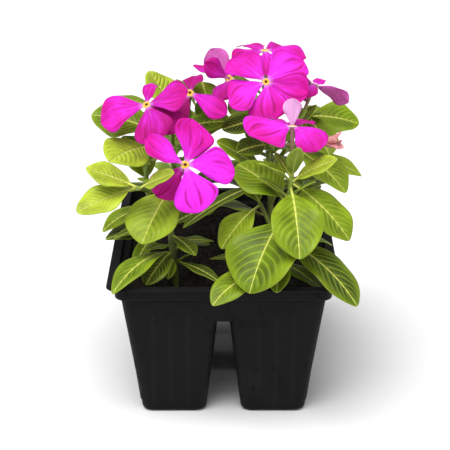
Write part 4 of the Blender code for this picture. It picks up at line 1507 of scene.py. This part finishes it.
    def settle(self, leaf: Leaf, others: Sequence[BVHTree], tries: Sequence[tuple[int, int]],
               grown: list[Leaf]) -> None:
        """Find a leaf its place, smaller if need be, or leave it out.

        Args:
            leaf: the leaf.
            others: the stems of the other plants.
            tries: the turns and lifts to try.
            grown: the plant's leaves so far.
        """
        for size in self.sizes:
            trial = replace(leaf, length=leaf.length * size, width=leaf.width * size)
            found = self.bent_clear(trial, self.taken + list(others), tries)
            if found:
                grown.append(found[0])
                self.taken.append(found[1])
                return


# The pack

PACK_NODES = ("pot", "cell_front_left", "cell_front_right", "cell_left", "cell_right", "cell_back_left",
              "cell_back_right")


@dataclass(frozen=True)
class NurseryPack:
    """The black pack of two by three tapered cells under one flat lip.

    Its ribs tilt back into the wall by rib_tilt radians, so that they fade upwards, and rib_plump makes up
    for what their rounding takes off.
    """

    height: float = 85.0
    lip_half: tuple[float, float] = (66.5, 89.0)
    lip_width: float = 4.2
    wall: float = 1.0
    corner: float = 7.0
    band_depth: float = 8.7
    shoulder: float = 7.6
    outer_floor: float = 18.6
    channel_roof: float = 61.4
    channel_top_half: float = 3.3
    channel_floor_half: float = 10.3
    row_channel: float = 26.5
    tray_inset: float = 0.4
    cell_corner: float = 6.0
    foot_round: float = 2.3
    drain_radius: float = 4.0
    rib_width: float = 3.6
    rib_pitch: float = 10.0
    rib_shift: float = 1.4
    rib_proud: float = 0.6
    rib_foot: float = 5.0
    rib_top: float = 68.0
    rib_tilt: float = 0.003
    rib_plump: float = 1.1
    # How much lighter the ribs are: painted highlight for their lit edges, with a worn look.
    rib_highlight_and_wear: float = 0.15
    cell_lap: float = 1.4
    hollow_top: float = 70.0

    @staticmethod
    def ring(centre: Point, half: Point, radius: float, z: float, steps: int) -> Ring:
        """Corner points of a rounded rectangle, anticlockwise.

        Args:
            centre: its middle.
            half: half its sides.
            radius: its corner radius.
            z: its height.
            steps: into how many parts each corner is split.

        Returns:
            The points.
        """
        points = []
        for quarter, (sx, sy) in enumerate(((1, 1), (-1, 1), (-1, -1), (1, -1))):
            for step in range(steps + 1):
                angle = math.radians(90 * (quarter + step / steps))
                points.append((centre[0] + sx * (half[0] - radius) + radius * math.cos(angle),
                               centre[1] + sy * (half[1] - radius) + radius * math.sin(angle), z))
        return points

    def draft(self) -> float:
        """How far the outward walls lean out per millimetre of height."""
        return (self.outer_floor - self.shoulder) / (self.height - self.band_depth)

    def tray_rings(self, inward: float, bottom: float, top: float) -> list[Ring]:
        """The tray above the cells: the body's upper part, its shoulder and the band.

        Args:
            inward: how far it is moved inwards.
            bottom: its lowest height.
            top: its highest height.

        Returns:
            Its rings, the lowest first.
        """
        shoulder = self.height - self.band_depth
        outline = [
            (self.shoulder + self.tray_inset + self.draft() * (shoulder - bottom), bottom),
            (self.shoulder + self.tray_inset + 0.06, shoulder - 1.7),
            (self.shoulder + self.tray_inset - 0.15, shoulder - 1.15),
            (self.shoulder - 0.5, shoulder - 0.85),
            (self.shoulder - 1.2, shoulder - 0.6),
            (self.shoulder - 2.4, shoulder - 0.1),
            (self.shoulder - 2.9, shoulder + 0.35),
            (self.shoulder - 3.1, shoulder + 0.9),
            (self.lip_width + 0.35, self.height - self.wall - 0.8),
            (self.lip_width + 0.2, self.height - self.wall),
        ]
        rows = []
        for inset, z in outline:
            inset += inward
            z = z if z == bottom else z + 0.8 * inward
            if z < top:
                rows.append((inset, z))
        rows.append((rows[-1][0] - 0.1, top))
        return [self.ring((0, 0), (self.lip_half[0] - inset, self.lip_half[1] - inset),
                          self.corner - 0.08 * inset, z, 8) for inset, z in rows]

    def lip_rings(self) -> list[Ring]:
        """The flat lip around the top, its edge turned down a little and eased.

        Returns:
            Its rings, the lowest first.
        """
        low, top = self.height - self.wall, self.height
        rows = ((self.lip_width + 1.5, low), (0.45, low - 0.12), (0.15, low - 0.02), (0.03, low + 0.2),
                (0, low + 0.5), (0.05, top - 0.25), (0.2, top - 0.08), (0.5, top),
                (self.lip_width - 0.9, top), (self.lip_width + 1.5, top))
        return [self.ring((0, 0), (self.lip_half[0] - inset, self.lip_half[1] - inset),
                          self.corner - 0.2 * inset, z, 8) for inset, z in rows]

    def cell_sides(self, z: float) -> tuple[float, float, float, float]:
        """Where a corner cell's sides lie.

        Args:
            z: the height.

        Returns:
            Its inner and outer X, and its inner and outer Y.
        """
        rise = (self.channel_floor_half - self.channel_top_half) / self.channel_roof
        gap = self.channel_floor_half - rise * z
        return (gap, self.lip_half[0] - self.outer_floor + self.draft() * z,
                self.row_channel + gap, self.lip_half[1] - self.outer_floor + self.draft() * z)

    def cell_rings(self, cell: tuple[int, int], inward: float, floor: float, top: float,
                   steps: int) -> list[Ring]:
        """A tapered cell with a rounded foot.

        Args:
            cell: its column and row.
            inward: how far it is moved inwards.
            floor: its lowest height.
            top: its highest height.
            steps: into how many parts each corner is split.

        Returns:
            Its rings, the lowest first.
        """
        foot = self.foot_round
        eased = [(floor + foot * (1 - math.cos(a)), foot * (1 - math.sin(a)))
                 for a in (math.radians(degree) for degree in (0, 18, 36, 54, 72, 90))]
        rows = []
        for z, shrink in (*eased, (top, 0)):
            in_x, out_x, in_y, out_y = self.cell_sides(z)
            half_x = (out_x - in_x) / 2 - inward - shrink
            if cell[1]:
                middle_y, half_y = cell[1] * (in_y + out_y) / 2, (out_y - in_y) / 2 - inward - shrink
            else:
                middle_y, half_y = 0.0, 2 * self.row_channel - in_y - inward - shrink
            rows.append(self.ring((cell[0] * (in_x + out_x) / 2, middle_y), (half_x, half_y),
                                  self.cell_corner - 0.5 * inward, z, steps))
        return rows

    @staticmethod
    def cells() -> list[tuple[int, int]]:
        """The column and row of each of the six cells."""
        return [(column, row) for row in (-1, 0, 1) for column in (-1, 1)]

    @staticmethod
    def loft(name: str, rings: Sequence[Sequence[Point]]) -> bpy.types.Object:
        """Skin a stack of rings, and close both ends.

        Args:
            name: the object's name.
            rings: the rings, with as many points each.

        Returns:
            The object.
        """
        bm = bmesh.new()
        rows = [[bm.verts.new(Vector(point) * MM) for point in row] for row in rings]
        for low, high in zip(rows, rows[1:]):
            for i in range(len(low)):
                bm.faces.new((low[i - 1], low[i], high[i], high[i - 1]))
        bm.faces.new(rows[0])
        bm.faces.new(rows[-1])
        bmesh.ops.recalc_face_normals(bm, faces=bm.faces)
        mesh = bpy.data.meshes.new(name)
        bm.to_mesh(mesh)
        bm.free()
        return shown(name, mesh)

    @staticmethod
    def boolean(piece: bpy.types.Object, others: Sequence[bpy.types.Object], operation: str) -> None:
        """Join other objects to a piece, or cut them from it, and remove them.

        Args:
            piece: the piece.
            others: the other objects.
            operation: UNION or DIFFERENCE.
        """
        group = bpy.data.collections.new("operands")
        for other in others:
            bpy.context.scene.collection.objects.unlink(other)
            group.objects.link(other)
        modifier = piece.modifiers.new(operation.lower(), "BOOLEAN")
        modifier.operation = operation
        modifier.solver = "MANIFOLD"
        modifier.operand_type = "COLLECTION"
        modifier.collection = group
        piece.data = settled(piece, piece.name)
        for other in list(group.objects):
            bpy.data.objects.remove(other, do_unlink=True)
        bpy.data.collections.remove(group)

    def drain(self, cell: tuple[int, int]) -> bpy.types.Object:
        """A cutter for the drain hole in a cell's floor.

        Args:
            cell: its column and row.

        Returns:
            The cutter.
        """
        in_x, out_x, in_y, out_y = self.cell_sides(0)
        centre = (cell[0] * (in_x + out_x) / 2, cell[1] * (in_y + out_y) / 2)
        half = (self.drain_radius, self.drain_radius)
        return self.loft("drain", [self.ring(centre, half, self.drain_radius - 0.01, z, 6) for z in (-1, 3)])

    def build_shell(self) -> bpy.types.Object:
        """The thin-walled shell: outer shapes joined, then its inside and the drain holes cut out.

        Returns:
            The shell.
        """
        shell = self.loft("pack_shell", self.tray_rings(0, self.channel_roof, self.height - 0.5))
        top = self.height - self.band_depth - self.cell_lap
        outer = [self.loft("cell", self.cell_rings(cell, 0, 0, top, 6)) for cell in self.cells()]
        self.boolean(shell, [*outer, self.loft("lip", self.lip_rings())], "UNION")
        wall = self.wall
        inner = [self.loft("hollow", self.cell_rings(cell, wall, wall, self.hollow_top, 5))
                 for cell in self.cells()]
        inner.append(self.loft("hollow", self.tray_rings(wall, self.channel_roof + wall, self.height + 2)))
        inner += [self.drain(cell) for cell in self.cells()]
        self.boolean(shell, inner, "DIFFERENCE")
        return shell

    def rib_seats(self) -> list[tuple[Vector, tuple[float, float, float]]]:
        """The places of the ribs on the cells' outward faces.

        Returns:
            Each rib's middle, and its turn in radians.
        """
        in_x, out_x, in_y, out_y = self.cell_sides(0)
        middle = (self.rib_foot + self.rib_top) / 2
        lean = math.atan(self.draft()) - self.rib_tilt
        depth = self.rib_tilt * (self.rib_top - self.rib_foot) / 2
        seats = []
        for column, row in self.cells():
            beside = row * ((in_y + out_y) / 2 + self.rib_shift)
            faces = [(Vector((column * out_x, beside, 0)), Vector((column, 0, 0)))]
            if row:
                ahead = column * ((in_x + out_x) / 2 + self.rib_shift)
                faces.append((Vector((ahead, row * out_y, 0)), Vector((0, row, 0))))
            for foot, normal in faces:
                along = Vector((-normal.y, normal.x, 0))
                turn = (-lean, 0.0, math.atan2(normal.y, normal.x) - math.pi / 2)
                for step in (-1, 0, 1):
                    centre = foot + along * self.rib_pitch * step + normal * (self.draft() * middle - depth)
                    seats.append((centre + Vector((0, 0, middle)), turn))
        return seats

    def build_ribs(self, plastic: bpy.types.Material) -> bpy.types.Object:
        """The shallow upright ribs, set on the cells' outward faces by a Geometry Nodes tree.

        Args:
            plastic: their material.

        Returns:
            The ribs in one object.
        """
        seats = self.rib_seats()
        mesh = bpy.data.meshes.new("rib_seats")
        mesh.from_pydata([seat * MM for seat, _ in seats], [], [])
        turns = mesh.attributes.new("turn", "FLOAT_VECTOR", "POINT")
        turns.data.foreach_set("vector", [value for _, turn in seats for value in turn])
        source = shown("rib_seats", mesh)
        size = (self.rib_width * MM, self.rib_plump * self.rib_proud * MM,
                (self.rib_top - self.rib_foot) * MM)
        RibTree().put_on(source, {"Rib Size": size, "Finish": plastic})
        ribs = shown("pack_ribs", settled(source, "pack_ribs"))
        bpy.data.objects.remove(source, do_unlink=True)
        return ribs

    def dress(self) -> None:
        """Build the shell and its ribs, and set them on the frame."""
        plastic = PlasticFinish().material()
        shell = self.build_shell()
        shell.data.materials.clear()
        shell.data.materials.append(plastic)
        shell.data.polygons.foreach_set("material_index", [0] * len(shell.data.polygons))
        shell.data.shade_smooth()
        shell.data.set_sharp_from_angle(angle=math.radians(32))
        on_body(shell, Slot.PLASTIC, *PACK_NODES)
        # The ribs get the lighter plastic: painted highlight for their lit edges, with a worn look.
        on_body(self.build_ribs(PlasticFinish("highlit_worn_plastic", self.rib_highlight_and_wear).material()), Slot.PLASTIC)


# Geometry Nodes


class GrowthTree:
    """A Geometry Nodes tree with named inputs, which is put on an object as a modifier."""

    def __init__(self, name: str) -> None:
        """Make a tree with a mesh going in and a mesh coming out.

        Args:
            name: its name.
        """
        self.tree = bpy.data.node_groups.new(name, "GeometryNodeTree")
        self.tree.interface.new_socket(name="Mesh", in_out="INPUT", socket_type="NodeSocketGeometry")
        self.tree.interface.new_socket(name="Mesh", in_out="OUTPUT", socket_type="NodeSocketGeometry")
        self.way_in = self.tree.nodes.new("NodeGroupInput")
        self.way_out = self.tree.nodes.new("NodeGroupOutput")

    def ask(self, name: str, kind: str) -> str:
        """Add a named input and return its name."""
        self.tree.interface.new_socket(name=name, in_out="INPUT", socket_type=kind)
        return name

    def node(self, kind: str, settings: Mapping[str, object] | None = None,
             inputs: Mapping[str | int, object] | None = None) -> bpy.types.Node:
        """Add a node.

        Args:
            kind: the node's type.
            settings: its own settings.
            inputs: values for its sockets, or sockets to link into them.

        Returns:
            The node.
        """
        made = self.tree.nodes.new(kind)
        for name, value in (settings or {}).items():
            setattr(made, name, value)
        for name, value in (inputs or {}).items():
            if isinstance(value, bpy.types.NodeSocket):
                self.tree.links.new(value, made.inputs[name])
            else:
                made.inputs[name].default_value = value
        return made

    def ending(self, instances: bpy.types.NodeSocket, finish: bpy.types.NodeSocket) -> None:
        """Realise the instances, give them their material and send them out.

        Args:
            instances: the instances.
            finish: the input that holds the material.
        """
        real = self.node("GeometryNodeRealizeInstances", None, {0: instances}).outputs[0]
        real = self.node("GeometryNodeSetMaterial", None, {"Geometry": real, "Material": finish}).outputs[0]
        self.tree.links.new(real, self.way_out.inputs[0])

    def put_on(self, target: bpy.types.Object, values: Mapping[str, object]) -> None:
        """Put the tree on an object and set its named inputs.

        Args:
            target: the object.
            values: what each named input gets.
        """
        modifier = target.modifiers.new(self.tree.name, "NODES")
        modifier.node_group = self.tree
        for item in self.tree.interface.items_tree:
            if item.in_out == "INPUT" and item.name in values:
                modifier[item.identifier] = values[item.name]


class RibTree(GrowthTree):
    """A long rounded rib at each point of a mesh, turned as the point says."""

    def __init__(self) -> None:
        """Build the tree."""
        super().__init__("pack_ribs")
        self.ask("Rib Size", "NodeSocketVector")
        self.ask("Finish", "NodeSocketMaterial")
        size = self.way_in.outputs["Rib Size"]
        bar = self.node("GeometryNodeMeshCube", None,
                        {"Size": size, "Vertices X": 3, "Vertices Y": 2, "Vertices Z": 15})
        round_bar = self.node("GeometryNodeSubdivisionSurface", None, {0: bar.outputs[0], "Level": 2})
        turn = self.node("GeometryNodeInputNamedAttribute", {"data_type": "FLOAT_VECTOR"}, {"Name": "turn"})
        turned = self.node("FunctionNodeEulerToRotation", None, {0: turn.outputs[0]})
        ribs = self.node("GeometryNodeInstanceOnPoints", None, {
            "Points": self.way_in.outputs[0], "Instance": round_bar.outputs[0],
            "Rotation": turned.outputs[0]})
        smooth = self.node("GeometryNodeSetShadeSmooth", None, {0: ribs.outputs[0]})
        self.ending(smooth.outputs[0], self.way_in.outputs["Finish"])


class CrumbTree(GrowthTree):
    """Rough lumps strewn over the upward faces of a mesh, each with its own size and turn."""

    def __init__(self, name: str, rounds: int) -> None:
        """Build the tree.

        Args:
            name: its name.
            rounds: how often a lump is split finer.
        """
        super().__init__(name)
        for title, kind in (("Density", "NodeSocketFloat"), ("Seed", "NodeSocketInt"),
                            ("Smallest", "NodeSocketVector"), ("Largest", "NodeSocketVector"),
                            ("Sink", "NodeSocketFloat"), ("Finish", "NodeSocketMaterial")):
            self.ask(title, kind)
        ask = self.way_in.outputs
        facing = self.node("GeometryNodeInputNormal")
        normal = self.node("ShaderNodeSeparateXYZ", None, {0: facing.outputs[0]})
        upward = self.node("FunctionNodeCompare", {"data_type": "FLOAT", "operation": "GREATER_THAN"},
                           {0: normal.outputs[2], 1: 0.6})
        strewn = self.node("GeometryNodeDistributePointsOnFaces", {"distribute_method": "RANDOM"}, {
            "Mesh": ask[0], "Selection": upward.outputs[0], "Density": ask["Density"], "Seed": ask["Seed"]})
        lump = self.node("GeometryNodeMeshIcoSphere", None, {"Radius": 1.0, "Subdivisions": rounds})
        spot = self.node("ShaderNodeTexNoise", {"noise_dimensions": "3D"}, {"Scale": 1.3, "Detail": 1.0})
        shift = self.node("ShaderNodeVectorMath", {"operation": "SUBTRACT"},
                          {0: spot.outputs[1], 1: (0.5, 0.5, 0.5)})
        rough = self.node("ShaderNodeVectorMath", {"operation": "SCALE"}, {0: shift.outputs[0], "Scale": 1.1})
        lump = self.node("GeometryNodeSetPosition", None, {0: lump.outputs[0], "Offset": rough.outputs[0]})
        size = self.node("FunctionNodeRandomValue", {"data_type": "FLOAT_VECTOR"},
                         {0: ask["Smallest"], 1: ask["Largest"], "Seed": 3})
        full_turn = (6.28, 6.28, 6.28)
        spin = self.node("FunctionNodeRandomValue", {"data_type": "FLOAT_VECTOR"},
                         {0: (0.0, 0.0, 0.0), 1: full_turn, "Seed": 5})
        turned = self.node("FunctionNodeEulerToRotation", None, {0: spin.outputs[0]})
        lumps = self.node("GeometryNodeInstanceOnPoints", None, {
            "Points": strewn.outputs[0], "Instance": lump.outputs[0], "Rotation": turned.outputs[0],
            "Scale": size.outputs[0]})
        down = self.node("ShaderNodeCombineXYZ", None, {2: ask["Sink"]})
        sunk = self.node("GeometryNodeTranslateInstances", None, {
            0: lumps.outputs[0], "Translation": down.outputs[0], "Local Space": False})
        self.ending(sunk.outputs[0], ask["Finish"])


@dataclass(frozen=True)
class Strewing:
    """One kind of lump on the soil: how many a square metre, and its smallest and largest size."""

    name: str
    finish: SoilFinish
    density: float
    smallest: Point
    largest: Point
    seed: int
    rounds: int = 1


@dataclass(frozen=True)
class GrowingMedium:
    """The growing medium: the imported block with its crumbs, bark bits and perlite on top."""

    peat: SoilFinish = SoilFinish("peat", tone(0.0045, 0.0035, 0.003), tone(0.022, 0.015, 0.010))
    layers: tuple[Strewing, ...] = (
        Strewing("soil_crumbs", SoilFinish("crumbs", tone(0.004, 0.003, 0.0026), tone(0.026, 0.018, 0.012)),
                 330000.0, (0.35, 0.35, 0.3), (1.35, 1.1, 0.9), 11),
        Strewing("bark_bits", SoilFinish("bark", tone(0.03, 0.010, 0.005), tone(0.13, 0.05, 0.022)),
                 9000.0, (0.5, 0.35, 0.25), (2.3, 0.8, 0.6), 23),
        Strewing("perlite_grains", SoilFinish("perlite", tone(0.12, 0.12, 0.12), tone(0.5, 0.5, 0.48)),
                 1500.0, (0.2, 0.2, 0.2), (0.6, 0.55, 0.5), 37),
    )

    def dress(self, node: bpy.types.Object) -> None:
        """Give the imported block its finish, and strew the lumps over it.

        Args:
            node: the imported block.
        """
        peat = self.peat.material()
        for place in node.material_slots:
            place.material = peat
        bm = bmesh.new()
        bm.from_mesh(node.data)
        bmesh.ops.remove_doubles(bm, verts=bm.verts, dist=1e-6)
        mesh = bpy.data.meshes.new("soil_top")
        bm.to_mesh(mesh)
        bm.free()
        source = shown("soil_top", mesh)
        for layer in self.layers:
            values = {"Density": layer.density, "Seed": layer.seed, "Finish": layer.finish.material(),
                      "Smallest": tuple(size * MM for size in layer.smallest),
                      "Largest": tuple(size * MM for size in layer.largest), "Sink": -0.1 * MM}
            CrumbTree(layer.name, layer.rounds).put_on(source, values)
            on_body(shown(layer.name, settled(source, layer.name)), Slot.PEAT)
        bpy.data.objects.remove(source, do_unlink=True)


# Dressing the blooms and plants


@dataclass(frozen=True)
class BloomDresser:
    """Builds the fine blooms: petals, the golden eye and the slim tube."""

    sides: int = 20
    ripple: float = 0.05
    profile: tuple[tuple[float, float], ...] = (
        (0.06, -3.4), (0.34, -2.2), (0.5, -0.6), (0.62, 0.05), (0.85, 0.42), (1.2, 0.66), (1.62, 0.66),
        (2.0, 0.5), (2.35, 0.28), (2.62, 0.08), (2.6, -0.2), (2.2, -0.5), (1.7, -0.8), (1.45, -1.6),
        (1.3, -4.5), (1.15, -9.0), (1.05, -13.0), (0.9, -18.0), (0.78, -22.4), (0.4, -22.7))

    def eye(self, bloom: Bloom) -> Shape:
        """The eye and tube, turned round the bloom's axis.

        Args:
            bloom: the bloom.

        Returns:
            The closed shape.
        """
        frame = bloom.frame()
        points, along = [], []
        for row, (radius, z) in enumerate(self.profile):
            for step in range(self.sides):
                angle = 2 * math.pi * step / self.sides
                ripple = 1 + (self.ripple * math.cos(5 * angle) if 6 < row < 12 else 0.0)
                reach = radius * ripple
                points.append(frame @ Vector((reach * math.cos(angle), reach * math.sin(angle), z)))
                along.append(row / (len(self.profile) - 1))
        return Shape(points, tube_faces(len(self.profile), self.sides), {"along": along})

    def dress(self, materials: Sequence[bpy.types.Material], faded: bpy.types.Material) -> None:
        """Build every bloom and set it on the frame.

        Args:
            materials: the petals' and the eye's.
            faded: the rolled petals' of a bloom that is over.
        """
        for name, bloom in BLOOMS.items():
            sheaf = Sheaf()
            frame = bloom.frame()
            petals = bloom.petal_leaves()
            over = all(petal.width <= Bloom.ROLLED_WIDTH for petal in petals)
            for petal in petals:
                style = Styles.PETAL if petal.width > Bloom.ROLLED_WIDTH else Styles.ROLLED
                sheaf.add(style.shape(petal, frame), 0)
            sheaf.add(self.eye(bloom), 1)
            finishes = (faded, materials[1]) if over else materials
            on_body(sheaf.piece("petals_of_" + name, finishes), Slot.COROLLA, name)


@dataclass(frozen=True)
class PlantDresser:
    """Builds the fine plants: stems, calyxes and leaves."""

    stem_radius: float = 2.0
    tip_radius: float = 1.1
    side_share: float = 0.75
    sides: int = 12
    node_swell: float = 0.22
    swell_reach: float = 1.8
    sepal_ring: float = 1.15
    cup: tuple[tuple[float, float], ...] = (
        (1.1, -2.4), (1.25, -1.9), (1.75, -0.8), (1.85, -0.2), (1.6, 0.3), (1.2, 0.45), (0.9, 0.4))

    def stem(self, path: Sequence[Vector], index: int, leaves: Sequence[Leaf]) -> Shape:
        """A stem that swells a little where leaves leave it.

        Args:
            path: its line.
            index: 0 for the main stem.
            leaves: the plant's leaves.

        Returns:
            The closed shape.
        """
        first = self.stem_radius if index == 0 else self.stem_radius * self.side_share
        fine = smooth_path(path, 5)
        radii = []
        for i, point in enumerate(fine):
            near = min(((leaf.foot - point).length for leaf in leaves), default=99.0)
            swell = 1 + self.node_swell * math.exp(-((near / self.swell_reach) ** 2))
            radii.append((first + (self.tip_radius - first) * i / (len(fine) - 1)) * swell)
        return tube_shape(fine, radii, self.sides)

    def calyx(self, bloom: Bloom) -> list[Shape]:
        """The small cup with five slim sepals that holds a bloom's tube.

        Args:
            bloom: the bloom.

        Returns:
            Its closed shapes.
        """
        frame = bloom.frame()
        frame.translation = bloom.calyx_place()
        line = [frame @ Vector((0, 0, z)) for _, z in self.cup]
        shapes = [tube_shape(line, [radius for radius, _ in self.cup], self.sides)]
        for step in range(5):
            angle = 72 * step
            sepal = Leaf(self.sepal_ring * pointing(angle, 0), heading=angle, rise=68, length=3.6,
                         width=1.5, droop=-10, roll=0, wave=0.0, age=0.4)
            shapes.append(Styles.SEPAL.shape(sepal, frame))
        return shapes

    def dress(self, materials: Sequence[bpy.types.Material]) -> None:
        """Grow every plant, build it and set it on the frame.

        Args:
            materials: the leaves' and the stems'.
        """
        paths, leaves = Growth().grow()
        for name, shoots in PLANTS.items():
            sheaf = Sheaf()
            for index, (shoot, path) in enumerate(zip(shoots, paths[name])):
                sheaf.add(self.stem(path, index, leaves[name]), 1)
                if shoot.bloom:
                    for shape in self.calyx(BLOOMS[shoot.bloom]):
                        sheaf.add(shape, 1)
            for leaf in leaves[name]:
                sheaf.add(Styles.LEAF.shape(leaf), 0)
            LOG.info("%s: %d leaves", name, len(leaves[name]))
            on_body(sheaf.piece("greenery_of_" + name, materials), Slot.FOLIAGE, name)


# The studio


@dataclass(frozen=True)
class Studio:
    """The camera at the photograph's viewing angle, soft light and the plain floor."""

    elevation: float = 20.3
    camera_metres: tuple[float, float, float] = (0.0009, -0.9008, 0.4245)
    focal_pixels: float = 1565.0
    frame_pixels: float = 450.0
    sensor: float = 36.0
    floor_metres: float = 12.0
    floor_drop: float = 0.0003
    sky: float = 0.42
    key: float = 3.3
    key_softness: float = 50.0
    key_way: tuple[float, float, float] = (-0.22, -0.36, 1.0)
    fill: float = 0.35
    fill_softness: float = 60.0
    fill_way: tuple[float, float, float] = (0.8, -0.7, 0.5)

    def build_camera(self) -> None:
        """Make the camera."""
        data = bpy.data.cameras.new("camera")
        data.sensor_width = self.sensor
        data.lens = self.focal_pixels / self.frame_pixels * self.sensor
        data.clip_start, data.clip_end = 0.01, 50.0
        camera = bpy.data.objects.new("camera", data)
        bpy.context.scene.collection.objects.link(camera)
        camera.location = self.camera_metres
        camera.rotation_euler = (math.radians(90 - self.elevation), 0.0, 0.0)
        bpy.context.scene.camera = camera

    @staticmethod
    def build_sun(name: str, strength: float, softness: float, towards: Point) -> None:
        """Make a soft distant lamp.

        Args:
            name: its name.
            strength: its strength.
            softness: how wide it looks, in degrees.
            towards: the way from the object to it.
        """
        data = bpy.data.lights.new(name, "SUN")
        data.energy = strength
        data.angle = math.radians(softness)
        lamp = bpy.data.objects.new(name, data)
        bpy.context.scene.collection.objects.link(lamp)
        lamp.rotation_euler = Vector(towards).to_track_quat("Z", "Y").to_euler()

    def build_floor(self) -> None:
        """Make the floor."""
        half, z = self.floor_metres / 2, -self.floor_drop
        mesh = bpy.data.meshes.new("floor")
        corners = [(-half, -half, z), (half, -half, z), (half, half, z), (-half, half, z)]
        mesh.from_pydata(corners, [], [(0, 1, 2, 3)])
        mesh.materials.append(FloorFinish().material())
        shown("floor", mesh)

    def build(self) -> None:
        """Make the camera, the lamps, the sky and the floor."""
        self.build_camera()
        self.build_sun("key", self.key, self.key_softness, self.key_way)
        self.build_sun("fill", self.fill, self.fill_softness, self.fill_way)
        world = bpy.data.worlds.new("sky")
        world.use_nodes = True
        world.node_tree.nodes["Background"].inputs["Color"].default_value = tone(1.0, 1.0, 1.0)
        world.node_tree.nodes["Background"].inputs["Strength"].default_value = self.sky
        bpy.context.scene.world = world
        bpy.context.scene.view_settings.view_transform = "Standard"
        self.build_floor()


def main() -> None:
    """Dress the whole object."""
    logging.basicConfig(level=logging.INFO, format="%(name)s: %(message)s")
    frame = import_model()
    Studio().build()
    NurseryPack().dress()
    GrowingMedium().dress(frame["nodes"]["growing_medium"])
    BloomDresser().dress((PetalFinish().material(), EyeFinish().material()), FadedFinish().material())
    PlantDresser().dress((LeafFinish().material(), StemFinish().material()))


if __name__ == "__main__":
    main()
